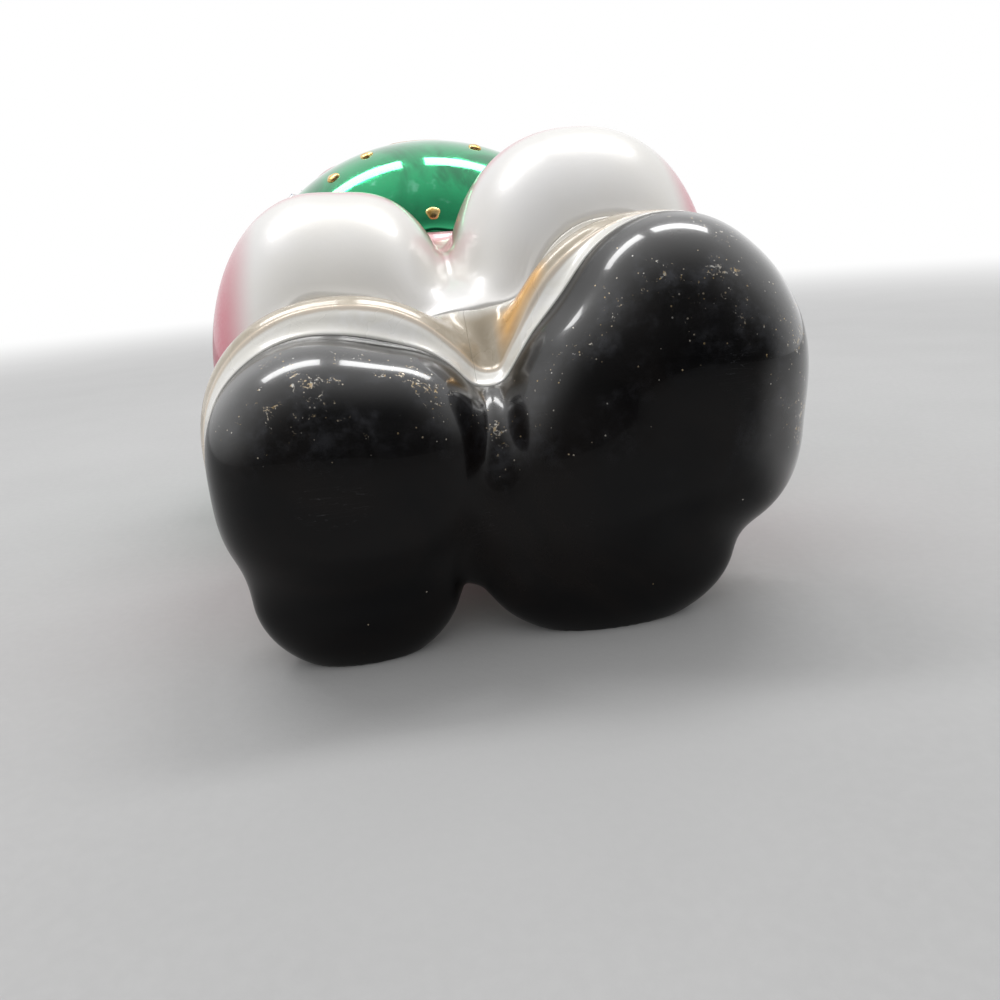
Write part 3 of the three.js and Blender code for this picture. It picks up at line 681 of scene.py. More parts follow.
# Painted shade: tan over most of the roll, from the gold line to where it fades towards the leg.
far_slope_shade = champagne.math(
    "MULTIPLY",
    champagne.ramp(uneven, cuff_start_line, 0.36),
    champagne.ramp(uneven, cuff_fade, 1.04, 1, 0.25),
)
from_line = champagne.math("ABSOLUTE", champagne.math("SUBTRACT", uneven, cuff_start_line + 0.035))
gilt = champagne.math("MAXIMUM", champagne.ramp(from_line, 0.02, 0.045, 0.25, 0), champagne.mark("cleft"))
leaf = champagne.mix(champagne.noise(500, 4, 0.6), (0.68, 0.34, 0.09, 1), (0.82, 0.52, 0.2, 1))
sand_shade = champagne.mix(champagne.ramp(around, 0.35, 0.7), (0.47, 0.4, 0.3, 1), (0.6, 0.53, 0.42, 1))
film = champagne.mix(champagne.ramp(around, 0.35, 0.7), (0.88, 0.86, 0.8, 1), (0.95, 0.94, 0.91, 1))
gilded = champagne.math("MULTIPLY", gilt, champagne.ramp(uneven, 0.1, cuff_start_line, 0.35, 1))
champagne.set(
    base_color=champagne.mix(gilded, champagne.mix(far_slope_shade, film, sand_shade), leaf),
    metallic=champagne.ramp(gilded, 0, 1, 0.12, 0.7),
    roughness=champagne.ramp(champagne.noise(150, 3), 0.3, 0.7, 0.2, 0.34),
    coat_weight=0.5,
    coat_roughness=0.04,
    normal=champagne.bump(champagne.noise(300, 4, 0.6), 0.00006, 0.4),
)
for way, cuff_name in ((1, "left"), (-1, "right")):
    middle = 0 if way > 0 else np.pi
    cuff = coat(
        f"boot_cuff_{cuff_name}_band",
        cuff_start + 0.1,
        trouser_start,
        champagne.material,
        step=0.12,
        columns=240,
        crowd=0.3,
        arc=(middle - np.pi / 2 + 0.002, middle + np.pi / 2 - 0.002),
        ragged=0.05,
        relief=cuff_relief,
        marks={"share": cuff_share, "cleft": cuff_cleft},
    )
    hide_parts(f"boot_cuff_{cuff_name}")

# Trousers. Pearl white lacquer over the silvered glass with soft moulded creases behind the knees, and rose
# red painted shade where it turns from the light: on the outer sides, low on the back and on top towards the
# coat.
def crease(points, normals):
    back = np.clip(0.35 - normals[:, 2], 0, 1) * np.clip((24 - points[:, 2]) / 12, 0, 1)
    x, y, z = points.T
    folds = np.sin(0.62 * y + 0.5 * np.sin(0.31 * x) + 1.1 * np.sin(0.2 * z))
    return 0.42 * back * np.clip(folds, 0, 1) ** 2


# Where the rose red painted shade lies: on sides that face away, low towards the table and on the far slope
# to the coat.
def rose(points, normals):
    leg = np.where(points[:, 0] > spread * 0.1, 1.0, 0.86)
    sides = np.clip((np.abs(normals[:, 0]) - 0.5) / 0.36, 0, 1) * (np.abs(points[:, 0]) > 12) * leg
    low = np.clip((16 - points[:, 2]) / 14, 0, 1) * 0.7
    ridge = 0.55 * np.clip((points[:, 1] - 25) / 4, 0, 1) ** 2 * np.clip((points[:, 2] - 30) / 10, 0, 1)
    return np.clip(np.maximum(np.maximum(sides, low), ridge), 0, 1)


pearl = Shader("pearl_lacquer")
mist = pearl.noise(240, 5, 0.7)
rose_shade = pearl.ramp(pearl.math("MULTIPLY_ADD", mist, 0.08, pearl.mark("rose")), 0.1, 1.0)
cream = pearl.mix(pearl.ramp(pearl.noise(60, 3), 0.35, 0.7), (0.88, 0.86, 0.82, 1), (0.9, 0.89, 0.88, 1))
powder = pearl.add("ShaderNodeTexVoronoi", {"Vector": pearl.place, "Scale": 3800.0}).outputs["Color"]
shimmer = pearl.add("ShaderNodeSeparateColor", {"Color": powder}).outputs["Blue"]
pearl.set(
    base_color=pearl.mix(rose_shade, cream, pearl.mix(mist, (0.56, 0.03, 0.09, 1), (0.66, 0.07, 0.14, 1))),
    metallic=0.2,
    roughness=pearl.ramp(shimmer, 0.0, 1.0, 0.3, 0.38),
    coat_weight=0.6,
    coat_roughness=0.06,
    normal=pearl.bump(pearl.noise(900, 3, 0.6), 0.00002, 0.4, pearl.bump(pearl.noise(80, 2), 0.0002, 0.2)),
)
trousers_coat = coat(
    "trousers_coat",
    trouser_start + 0.1,
    hem,
    pearl.material,
    crowd=0.3,
    relief=crease,
    marks={"rose": rose},
    seed=2.0,
)
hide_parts("trousers_lacquer")

# Coat skirt. Transparent emerald lacquer over the silvered glass: a mirror with mint and deep green patches
# where the lacquer is thin or has run. It is plain over the belly and hangs in soft pleats at the sides and
# the back.
def pleat(points, normals):
    turn = np.arctan2(points[:, 2] - 25, points[:, 0])
    away = np.clip(0.55 - normals[:, 2], 0, 1)
    fade = np.clip((belt_start - points[:, 1]) / 8, 0, 1)
    return 0.75 * away * fade * np.abs(np.sin(8.5 * turn + 0.25 * np.sin(points[:, 1] * 0.3))) ** 0.8


def lacquer(name, thin, body, deep, roughness=0.05):
    """Transparent lacquer over a silver mirror, thinner in scattered spots and pooled in runs."""
    shade = Shader(name)
    runs = shade.noise(95, 4, 0.6, 1.4)
    pooled = shade.mix(shade.ramp(runs, 0.3, 0.62), deep, body)
    spots = shade.ramp(shade.noise(330, 3, 0.6), 0.6, 0.72)
    tone = shade.mix(shade.math("MULTIPLY", spots, shade.ramp(runs, 0.45, 0.7, 0, 0.6)), pooled, thin)
    ripple = shade.bump(shade.noise(75, 2, 0.5, 0.6), 0.00045, 0.35)
    shade.set(
        base_color=tone,
        metallic=0.96,
        roughness=shade.ramp(shade.noise(180, 3), 0.3, 0.75, roughness, roughness + 0.1),
        coat_weight=1.0,
        coat_roughness=0.025,
        normal=shade.bump(shade.noise(520, 4, 0.7), 0.00003, 0.5, ripple),
    )
    return shade


green = lacquer("green_lacquer", (0.3, 0.78, 0.56, 1), (0.004, 0.4, 0.15, 1), (0.0, 0.2, 0.075, 1))
skirt = coat("coat_skirt_coat", hem + 0.05, belt_start, green.material, relief=pleat, seed=3.0)
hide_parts("coat_skirt_lacquer")

# Coat dots. Five small drops of pale gold paint sprinkled along the coat's hem, each a dome with a soft
# edge.
dot_radius = 0.95
dot_height = 0.42
dot_places = [(0.0, hem + 1.7)]
dot_places += [(way * (2.8 + 4.9 * step), hem + 14.4 - 1.8 * step) for way in (-1, 1) for step in (1, 2)]


def on_front(x, y, lift=0.0, form=dressed):
    """Points on the front of the coat above given places, with their normals."""
    x, y = np.broadcast_arrays(np.asarray(x, float), np.asarray(y, float))
    centres = np.stack([x, y, np.full(x.shape, 24.0)], -1).reshape(-1, 3)
    up = np.broadcast_to([0, 0, 1.0], centres.shape)
    points = cast(form, centres, up, coat_top)
    normals = slope_of(form, points)
    return points + normals * lift, normals


def across_of(normal):
    side_way = np.cross([0, 1.0, 0], normal)
    side_way = side_way / np.linalg.norm(side_way)
    return side_way, np.cross(normal, side_way)


gold = Shader("gilding")
worn_gold = gold.noise(700, 5, 0.7, 0.4)
gold.set(
    base_color=gold.mix(gold.ramp(worn_gold, 0.35, 0.7), (0.62, 0.38, 0.1, 1), (0.93, 0.7, 0.33, 1)),
    metallic=1.0,
    roughness=gold.ramp(worn_gold, 0.3, 0.7, 0.32, 0.18),
    coat_weight=0.4,
    coat_roughness=0.06,
    normal=gold.bump(gold.noise(900, 4, 0.6), 0.00004, 0.6),
)
dot_rows = 9
dot_sides = 28
for number, (x, y) in enumerate(dot_places):
    (centre,), (normal,) = on_front(x, y, -0.05)
    u, v = across_of(normal)
    tilt = np.pi / 2 * np.arange(1, dot_rows + 1)[:, None] / dot_rows
    turn = np.arange(dot_sides) * 2 * np.pi / dot_sides
    wide = dot_radius * (1 + 0.07 * np.sin(3 * turn + number) + 0.04 * np.sin(5 * turn + 2 * number))
    out = wide * np.sin(tilt)
    dome = dot_height * np.cos(tilt) ** 0.8 + 0 * turn
    sideways = np.cos(turn)[:, None] * u + np.sin(turn)[:, None] * v
    ring = centre + out[..., None] * sideways + dome[..., None] * normal
    points = np.concatenate([ring.reshape(-1, 3), [centre + dot_height * normal]])
    around = np.arange(dot_sides)
    top = np.stack([np.full(dot_sides, len(points) - 1), around, np.roll(around, -1)], 1)
    dot = mesh_object(
        f"gold_dot_{number + 1}", points, [grid_faces(dot_rows, dot_sides), top], gold.material
    )
    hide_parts(f"coat_dot_{number + 1}")

# Belt. A broad band of black lacquer over a moulded belt, thick at its rolled edges, with a fine gold line
# inside each of them.
def belt_share(points, normals):
    return (points[:, 1] - belt_start) / belt_width


def belt_relief(points, normals):
    share = belt_share(points, normals)
    lip = np.exp(-(((np.abs(share - 0.5) - 0.4) / 0.055) ** 2))
    plate = np.clip(np.minimum(share, 1 - share) / 0.08, 0, 1) ** 0.5
    return 0.4 * plate + 0.2 * lip


strap = Shader("belt_lacquer")
share = strap.mark("share")
middle_gap = strap.math("ABSOLUTE", strap.math("SUBTRACT", share, 0.5))
brushed = strap.math("MULTIPLY_ADD", strap.noise(300, 4, 0.65), 0.03, middle_gap)
inlay = strap.ramp(strap.math("ABSOLUTE", strap.math("SUBTRACT", brushed, 0.315)), 0.018, 0.03, 1, 0)
hide = strap.mix(
    strap.ramp(strap.noise(160, 4), 0.35, 0.7), (0.005, 0.005, 0.006, 1), (0.014, 0.013, 0.015, 1)
)
strap.set(
    base_color=strap.mix(inlay, hide, (0.8, 0.56, 0.22, 1)),
    metallic=inlay,
    roughness=strap.math(
        "MAXIMUM", strap.ramp(strap.noise(90, 3), 0.3, 0.8, 0.06, 0.2), strap.math("MULTIPLY", inlay, 0.22)
    ),
    specular_ior_level=0.4,
    normal=strap.bump(strap.noise(700, 5, 0.6), 0.00005, 0.5),
)
belt_coat = coat(
    "belt_coat",
    belt_start + 0.05,
    belt_end,
    strap.material,
    step=0.14,
    ragged=0.04,
    relief=belt_relief,
    marks={"share": belt_share},
)
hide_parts("belt_lacquer")


# Buckle. A gilded frame moulded round the middle of the belt, with rounded bars, a ridge along them and one
# prong.
buckle_half_width = 5.6
buckle_half_length = belt_width / 2 + 0.7
bar_radius = 0.72


def sweep(path, radii, up, sides=16, flat=1.0, looped=False, groove=None):
    """A tube round a path, with its own radius at each point, flattened along up and closed at both ends."""
    path = np.asarray(path, float)
    if looped:
        run = np.roll(path, -1, axis=0) - np.roll(path, 1, axis=0)
    else:
        run = np.gradient(path, axis=0)
    run /= np.linalg.norm(run, axis=1, keepdims=True)
    across = np.cross(run, up)
    across /= np.linalg.norm(across, axis=1, keepdims=True)
    over = np.cross(across, run)
    turn = np.arange(sides) * 2 * np.pi / sides
    reach = np.asarray(radii, float)[:, None] * np.ones(sides)
    if groove:
        reach = reach * groove(np.linspace(0, 1, len(path))[:, None], turn)
    ring = path[:, None] + reach[..., None] * (
        np.cos(turn)[None, :, None] * across[:, None] + flat * np.sin(turn)[None, :, None] * over[:, None]
    )
    points = ring.reshape(-1, 3)
    faces = [grid_faces(len(path), sides, looped=looped)]
    if not looped:
        around = np.arange(sides)
        last = around + (len(path) - 1) * sides
        points = np.concatenate([points, path[:1], path[-1:]])
        faces.append(np.stack([np.full(sides, len(points) - 2), around, np.roll(around, -1)], 1))
        faces.append(np.stack([np.full(sides, len(points) - 1), np.roll(last, -1), last], 1))
    return points, faces


def gathered(parts):
    """Several sets of points and faces as one."""
    points, faces, count = [], [], 0
    for part_points, part_faces in parts:
        points.append(part_points)
        faces += [group + count for group in part_faces]
        count += len(part_points)
    return np.concatenate(points), faces


corner = 1.6
frame_path = []
for centre_x, centre_y, start_turn in ((1, 1, 0), (-1, 1, 90), (-1, -1, 180), (1, -1, 270)):
    for degrees in range(0, 91, 10):
        turn = math.radians(start_turn + degrees)
        frame_path.append(
            (
                centre_x * (buckle_half_width - bar_radius - corner) + corner * math.cos(turn),
                centre_y * (buckle_half_length - bar_radius - corner) + corner * math.sin(turn),
            )
        )
frame_path = np.array(frame_path)
dense = []
for here, following in zip(frame_path, np.roll(frame_path, -1, axis=0)):
    pieces = max(1, int(np.linalg.norm(following - here) / 0.35))
    dense += [here + (following - here) * i / pieces for i in range(pieces)]
dense = np.array(dense)
belt_middle = (belt_start + belt_end) / 2
bar_points, bar_normals = on_front(dense[:, 0], belt_middle + dense[:, 1], 0.5)


def bar_section(along, turn):
    return 1 + 0.12 * np.cos(4 * turn) + 0 * along


prong_x = np.linspace(-buckle_half_width + 0.8, buckle_half_width - 0.9, 26)
prong_rise = 0.95 + 0.35 * np.clip((np.abs(prong_x) - 3.2) / 1.6, 0, 1)
prong_points, prong_normals = on_front(prong_x, belt_middle)
prong_points = prong_points + prong_normals * prong_rise[:, None]
prong_radii = 0.5 - 0.2 * (prong_x > 0) * (prong_x / buckle_half_width) ** 2
buckle = mesh_object(
    "buckle",
    *gathered(
        [
            sweep(
                bar_points,
                np.full(len(bar_points), bar_radius),
                bar_normals,
                20,
                0.9,
                looped=True,
                groove=bar_section,
            ),
            sweep(prong_points, prong_radii, prong_normals, 16, 0.8),
        ]
    ),
    gold.material,
)
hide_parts("buckle_gilding")


# Jacket. The same emerald lacquer from the belt to the beard, with a moulded placket down the front, soft
# gathers above the belt and sleeve creases at the elbows.
def cloth(points, normals):
    x, y, z = points.T
    placket = np.clip((2.6 - np.abs(x)) / 0.5, 0, 1) * (z > 30) * 0.35
    near_belt = np.clip((belt_end + 6.5 - y) / 6, 0, 1) * np.clip((y - belt_end) / 1.2, 0, 1)
    turn = np.arctan2(z - 25, x)
    gathers = 0.4 * near_belt * np.abs(np.sin(13 * turn + 0.4 * np.sin(y))) ** 0.8 * (np.abs(x) > 3.4)
    at_side = np.exp(-(((np.abs(x) - belly_half_width + 2) / 6) ** 2))
    sleeve = at_side * np.exp(-(((y - mitten_at - 3) / 8) ** 2))
    folds = 0.6 * sleeve * np.abs(np.sin(0.75 * y + 0.16 * z + 0.5 * np.sin(0.25 * z))) ** 0.8
    low = np.clip((8 - z) / 5, 0, 1)
    return placket + (gathers + folds) * (1 - 0.6 * low)


jacket = coat(
    "jacket_coat", belt_end + 0.05, hat_start - hair_length, green.material, relief=cloth, seed=4.0
)
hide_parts("jacket_lacquer")


# Mittens. Two moulded hands resting on the belly, in transparent red lacquer over silver, with a seam round
# the thumb and two stitched lines on the back.
def lump_object(
    name, form, centre, rows, columns, material, lift=0.85, relief=None, marks=None, grow=None, poles=1
):
    """A closed lump from rays that spread from its centre. Its poles lie along x, y or z."""
    tilt = np.arange(1, rows)[:, None] * np.pi / rows
    turn = np.arange(columns) * 2 * np.pi / columns
    out = np.sin(tilt)
    spread_out = np.stack([out * np.cos(turn), out * np.sin(turn), np.cos(tilt) + 0 * turn], -1)
    directions = np.concatenate([spread_out.reshape(-1, 3), [[0, 0, 1.0], [0, 0, -1.0]]])
    directions = np.roll(directions, poles + 1, axis=1)
    centres = np.broadcast_to(np.asarray(centre, float), directions.shape)
    points = cast(form, centres, directions, lift, reach=30.0)
    normals = slope_of(form, points)
    if relief:
        points = points + normals * relief(points, normals)[:, None]
    around = np.arange(columns)
    last = around + (rows - 2) * columns
    north = np.stack([np.full(columns, len(points) - 2), around, np.roll(around, -1)], 1)
    south = np.stack([np.full(columns, len(points) - 1), np.roll(last, -1), last], 1)
    values = {mark: spread_of(points, normals) for mark, spread_of in (marks or {}).items()}
    faces = [grid_faces(rows - 1, columns), np.concatenate([north, south])]
    return mesh_object(name, points, faces, material, marks=values, grow=grow)


red = lacquer("red_lacquer", (0.95, 0.34, 0.3, 1), (0.52, 0.006, 0.02, 1), (0.2, 0.0, 0.008, 1))
for way, hand in ((1, "left"), (-1, "right")):
    x, y, z = mitten_centre(way)

    def stitches(points, normals, x=x, y=y, way=way):
        back = np.clip(normals[:, 2], 0, 1)
        from_middle = points[:, 1] - y - 0.12 * (points[:, 0] - x)
        lines = sum(np.exp(-(((from_middle - line_at) / 0.22) ** 2)) for line_at in (0.2, 2.1))
        thumb = np.exp(-(((points[:, 1] - y + 3.9) / 0.3) ** 2))
        return 0.1 - 0.2 * back * lines - 0.22 * thumb * (way * (x - points[:, 0]) > -1)

    hand_lump = lump_object(
        f"mitten_{hand}_moulded", mitten(way), (x, y, z), 120, 160, red.material, relief=stitches
    )
    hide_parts(f"mitten_{hand}")


# Sleeve furs. A rolled fur cuff at each wrist, moulded in tufts and frosted: white paint dusted with glass
# glitter.
def tufts(spacing, depth, seed):
    """Relief of small curled tufts, laid at random over a frosted surface."""

    def relief(points, normals):
        generator = np.random.default_rng(seed)
        left = points[generator.permutation(len(points))]
        centres = []
        while len(left):
            centres.append(left[0])
            left = left[((left - left[0]) ** 2).sum(1) > spacing**2]
        centres = np.array(centres)
        square = (points**2).sum(1)[:, None] + (centres**2).sum(1) - 2 * points @ centres.T
        nearest = square.argmin(1)
        gap = np.sqrt(np.maximum(square[np.arange(len(points)), nearest], 0)) / spacing
        u = np.cross(normals, [0.31, 0.5, 0.81])
        u /= np.linalg.norm(u, axis=1, keepdims=True)
        v = np.cross(normals, u)
        local = points - centres[nearest]
        turn = np.arctan2((local * v).sum(1), (local * u).sum(1))
        phase = generator.uniform(0, 6.28, len(centres))[nearest]
        hand = np.where(generator.uniform(size=len(centres)) > 0.5, 1, -1)[nearest]
        height = generator.uniform(0.75, 1.1, len(centres))[nearest]
        dome = np.sqrt(np.clip(1 - (gap / 0.92) ** 2, 0, 1))
        curl = 0.5 + 0.5 * np.cos(hand * turn + 7.5 * gap + phase)
        return depth * height * (0.12 + dome * (0.62 + 0.38 * curl))

    return relief


frost = Shader("frosting")
chalk = frost.noise(800, 5, 0.7)
crystals = frost.add("ShaderNodeTexVoronoi", {"Vector": frost.place, "Scale": 2600.0})
bits = frost.add("ShaderNodeSeparateColor", {"Color": crystals.outputs["Color"]}).outputs
spark = frost.ramp(bits["Red"], 0.9, 0.93)
frost.set(
    base_color=frost.mix(frost.ramp(chalk, 0.3, 0.7), (0.66, 0.69, 0.73, 1), (0.84, 0.85, 0.86, 1)),
    metallic=frost.math("MULTIPLY", spark, 0.8),
    roughness=frost.math("SUBTRACT", 0.62, frost.math("MULTIPLY", spark, 0.5)),
    subsurface_weight=0.12,
    subsurface_scale=0.0006,
    normal=frost.bump(bits["Green"], 0.00012, 0.6, frost.bump(chalk, 0.0001, 0.6)),
)
flake = Shader("glitter_flake")
flake_tone = flake.noise(2200, 1)
flake.set(
    base_color=flake.mix(flake.ramp(flake_tone, 0.4, 0.6), (0.85, 0.9, 0.98, 1), (0.98, 0.95, 0.88, 1)),
    metallic=1.0,
    roughness=flake.ramp(flake_tone, 0.35, 0.65, 0.08, 0.22),
)


def growing_nodes(name, sizes):
    """A new geometry node tree with an input for each size, its incoming sockets and its result's."""
    tree = bpy.data.node_groups.new(name, "GeometryNodeTree")
    tree.interface.new_socket("Geometry", in_out="INPUT", socket_type="NodeSocketGeometry")
    for size in sizes:
        tree.interface.new_socket(size, in_out="INPUT", socket_type="NodeSocketFloat")
    tree.interface.new_socket("Geometry", in_out="OUTPUT", socket_type="NodeSocketGeometry")
    nodes = Nodes(tree)
    return nodes, nodes.add("NodeGroupInput").outputs, nodes.add("NodeGroupOutput").inputs[0]


def applied(piece, nodes, sizes):
    """The piece's mesh as the node tree makes it with the given sizes, with the modifier gone."""
    modifier = piece.modifiers.new("nodes", "NODES")
    modifier.node_group = nodes.tree
    for socket in nodes.tree.interface.items_tree:
        if socket.in_out == "INPUT" and socket.name in sizes:
            modifier[socket.identifier] = sizes[socket.name]
    shown = piece.evaluated_get(bpy.context.evaluated_depsgraph_get())
    made = bpy.data.meshes.new_from_object(shown)
    piece.modifiers.remove(modifier)
    piece.data = made


def coloured(nodes, geometry, material):
    """The end of a branch: its instances made real and given their material."""
    real = nodes.add("GeometryNodeRealizeInstances", {"Geometry": geometry}).outputs["Geometry"]
    dressed = nodes.add("GeometryNodeSetMaterial", {"Geometry": real, "Material": material})
    return dressed.outputs["Geometry"]


def glitter(per_square_mm, seed, radius=0.13):
    """A grower that strews six-sided glitter flakes over a frosted piece, each tilted its own way."""

    def grow(piece):
        sizes = {"Flakes per square metre": per_square_mm * 1e6, "Flake radius": radius / 1000}
        nodes, given, result = growing_nodes(piece.name + "_glitter", sizes)
        strewing = {"Mesh": given["Geometry"], "Density": given["Flakes per square metre"], "Seed": seed}
        strewn = nodes.add("GeometryNodeDistributePointsOnFaces", strewing).outputs
        flat = {"Vertices": 6, "Radius": given["Flake radius"]}
        disc = nodes.add("GeometryNodeMeshCircle", flat, fill_type="NGON")
        tilts = {"Min": (-0.5, -0.5, 0), "Max": (0.5, 0.5, 3.1), "Seed": seed + 1}
        tilt = nodes.add("FunctionNodeRandomValue", tilts, data_type="FLOAT_VECTOR")
        turning = {"Rotation": strewn["Rotation"], "Rotate By": tilt.outputs["Value"]}
        turned = nodes.add("FunctionNodeRotateEuler", turning, rotation_type="EULER", space="LOCAL")
        size = nodes.add("FunctionNodeRandomValue", {"Min": 0.5, "Max": 1.1, "Seed": seed + 2})
        placing = {
            "Points": strewn["Points"],
            "Instance": disc.outputs["Mesh"],
            "Rotation": turned.outputs["Rotation"],
            "Scale": size.outputs[1],
        }
        placed = nodes.add("GeometryNodeInstanceOnPoints", placing)
        flakes = coloured(nodes, placed.outputs["Instances"], flake.material)
        both = nodes.add("GeometryNodeJoinGeometry", {"Geometry": flakes})
        nodes.put(both.inputs["Geometry"], given["Geometry"])
        nodes.put(result, both.outputs["Geometry"])
        applied(piece, nodes, sizes)

    return grow


for way, hand in ((1, "left"), (-1, "right")):
    fur = lump_object(
        f"sleeve_fur_{hand}_moulded",
        sleeve_fur(way),
        wrist(way),
        110,
        150,
        frost.material,
        lift=0.4,
        relief=tufts(1.9, 1.1, 20 + way),
        grow=glitter(1.0, 30 + way),
    )
    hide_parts(f"sleeve_fur_{hand}")


# Hair. White frosted locks that come from under the hat band and lie round the sides and back of the head.
# In front they are a thin smooth ground under the face.
def locks(points, normals):
    x, y, z = points.T
    under_face = np.clip(face_half_width + 0.5 - np.abs(x), 0, 1) * (z > neck_height)
    turn = np.arctan2(z - neck_height, x)
    down = (hat_start - y) / hair_length
    wave = 11 * turn + 0.9 * np.sin(2.6 * down + 3 * turn) + 0.5 * np.sin(7 * turn)
    strand = 0.5 + 0.5 * np.sin(5.0 * wave + 2.0 * np.sin(3 * down))
    fuller = 0.55 + 0.45 * np.clip(down * 2, 0, 1)
    height = 0.15 + 0.8 * np.abs(np.sin(wave)) ** 0.7 * fuller + 0.12 * strand
    return height * (1 - under_face) - 0.35 * under_face


hair = coat(
    "hair_coat",
    hat_start - hair_length - 0.25,
    hat_start,
    frost.material,
    step=0.25,
    columns=640,
    ragged=0.5,
    relief=locks,
    seed=5.0,
    grow=glitter(0.5, 41),
)
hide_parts("hair_frosting")


# Beard. Full and wavy, moulded in locks that part below the lower lip and run to a rounded tip on the
# chest, with a separate moustache over it. Both are frosted and strewn with glitter.
beard_centre = (0.0, head_at - 9.5, head_height - 2.4)
mouth_at = head_at - 4.4
lock_depth = 1.1


def beard_locks(points, normals):
    x, y, z = points.T
    from_mouth = np.hypot(x, y - mouth_at)
    turn = np.arctan2(x, mouth_at + 2 - y)
    swirl = 5.5 * turn + 0.75 * np.sin(0.42 * from_mouth + 2.2 * turn)
    grown = np.clip(from_mouth / 6, 0.25, 1)
    strand = np.abs(np.sin(5 * swirl + 0.9 * np.sin(0.8 * from_mouth)))
    off_cheeks = np.clip((mouth_at + 2.2 - y) / 2.4, 0, 1)
    height = (lock_depth * np.abs(np.cos(swirl)) ** 0.75 + 0.16 * strand) * grown
    return height * off_cheeks - 0.3 * (1 - off_cheeks)


beard_lump = lump_object(
    "beard_moulded",
    beard,
    beard_centre,
    220,
    300,
    frost.material,
    lift=0.7,
    relief=beard_locks,
    grow=glitter(0.9, 51),
)
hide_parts("beard_frosting")


def with_beard(p):
    return np.minimum(dressed(p), beard(p))


def hairs(count, twist, deep):
    def groove(along, turn):
        return 1 - deep * (1 - np.abs(np.sin(count * 0.5 * turn + twist * along))) ** 1.5

    return groove


whisker_parts = []
for way in (1, -1):
    for bend, lift, scale, start in ((0.0, 0.9, 1.0, 0.15), (1.1, 1.3, 0.72, 0.9)):
        along = np.linspace(0, 1, 34)
        x = way * (start + (9.6 - bend) * along)
        y = mouth_at + 1.2 - bend * 0.5 + 0.9 * np.sin(along * 2.6) - 2.9 * along**2 + 2.6 * along**6
        points, normals = on_front(x, y, lift + 0.5 * scale, with_beard)
        pointed = np.clip((1 - along) / 0.16, 0.12, 1) ** 0.5
        radii = scale * (0.7 + 1.15 * np.sin(np.pi * (0.16 + 0.78 * along)) ** 0.8) * pointed
        whisker_parts.append(sweep(points, radii, normals, 40, 0.85, groove=hairs(9, way * 5.0, 0.24)))
moustache = mesh_object("moustache", *gathered(whisker_parts), frost.material, grow=glitter(1.1, 61))

# Lower lip. A small rose red lip just below the moustache, where the beard parts. It is a raised form of the
# glass with one touch of gloss lacquer.
lip = Shader("lip_lacquer")
lip_grain = lip.noise(900, 4, 0.6)
lip.set(
    base_color=lip.mix(lip.ramp(lip_grain, 0.35, 0.7), (0.42, 0.03, 0.04, 1), (0.6, 0.09, 0.09, 1)),
    roughness=lip.ramp(lip_grain, 0.3, 0.7, 0.16, 0.3),
    coat_weight=0.6,
    coat_roughness=0.05,
    normal=lip.bump(lip_grain, 0.00004, 0.5),
)
along = np.linspace(-1, 1, 25)
lip_points, lip_normals = on_front(1.9 * along, mouth_at - 1.25 + 0.35 * along**2, 0.75, with_beard)
lip_radii = 0.75 * np.sqrt(np.clip(1 - along**2, 0.02, 1))
lower_lip = mesh_object("lower_lip", *sweep(lip_points, lip_radii, lip_normals, 20, 0.8), lip.material)

# Face. Flesh lacquer between the hat band and the moustache, calm and evenly proportioned: moulded eye
# sockets and lids, with painted shade round the eyes, airbrushed cheeks and nose tip. The eyes are domes
# painted with a white, a blue iris, a black pupil and a small white dot that is a painted highlight.
face_start = head_at - 5
eye_x = 4.5
eye_at = head_at + 1.7
eye_radius = 1.75


def features(points, normals):
    x, y = np.abs(points[:, 0]), points[:, 1]
    socket = np.exp(-(((x - eye_x) / 2.5) ** 2) - ((y - eye_at) / 1.5) ** 2)
    across = (x - eye_x) / 2.1
    arch = eye_at + 1.18 - 0.75 * across**2
    upper_lid = np.exp(-(((y - arch) / 0.3) ** 2)) * np.exp(-(across**4))
    bag = eye_at - 1.12 + 0.55 * across**2
    lower_lid = np.exp(-(((y - bag) / 0.28) ** 2)) * np.exp(-(across**4))
    wing = np.exp(-(((x - 2.5) / 0.9) ** 2) - ((y - head_at + 1.1) / 1.1) ** 2)
    bridge = np.exp(-((x / 1.3) ** 2) - ((y - eye_at) / 2.0) ** 2)
    below_nose = np.clip((head_at - 0.6 - y) / 1.5, 0, 1)
    furrow = np.exp(-(((x - 3.4 - 0.5 * (head_at - y)) / 0.4) ** 2)) * below_nose
    eyes = 0.34 * upper_lid + 0.2 * lower_lid - 0.55 * socket
    return 0.55 + eyes + 0.5 * wing + 0.35 * bridge - 0.16 * furrow


skin = Shader("flesh_lacquer")


def spot(shade, x, y, radius, soft, squash=1.0):
    """One inside a round spot on the front, seen from above, and zero outside."""
    middle = (x / 1000, (y + shift) / 1000, 0)
    moved = shade.add("ShaderNodeVectorMath", {0: shade.place, 1: middle}, operation="SUBTRACT").outputs[0]
    flat = shade.add(
        "ShaderNodeVectorMath", {0: moved, 1: (1, 1 / squash, 0)}, operation="MULTIPLY"
    ).outputs[0]
    far = shade.add("ShaderNodeVectorMath", {0: flat}, operation="LENGTH").outputs["Value"]
    return shade.ramp(far, (radius - soft) / 1000, (radius + soft) / 1000, 1, 0)


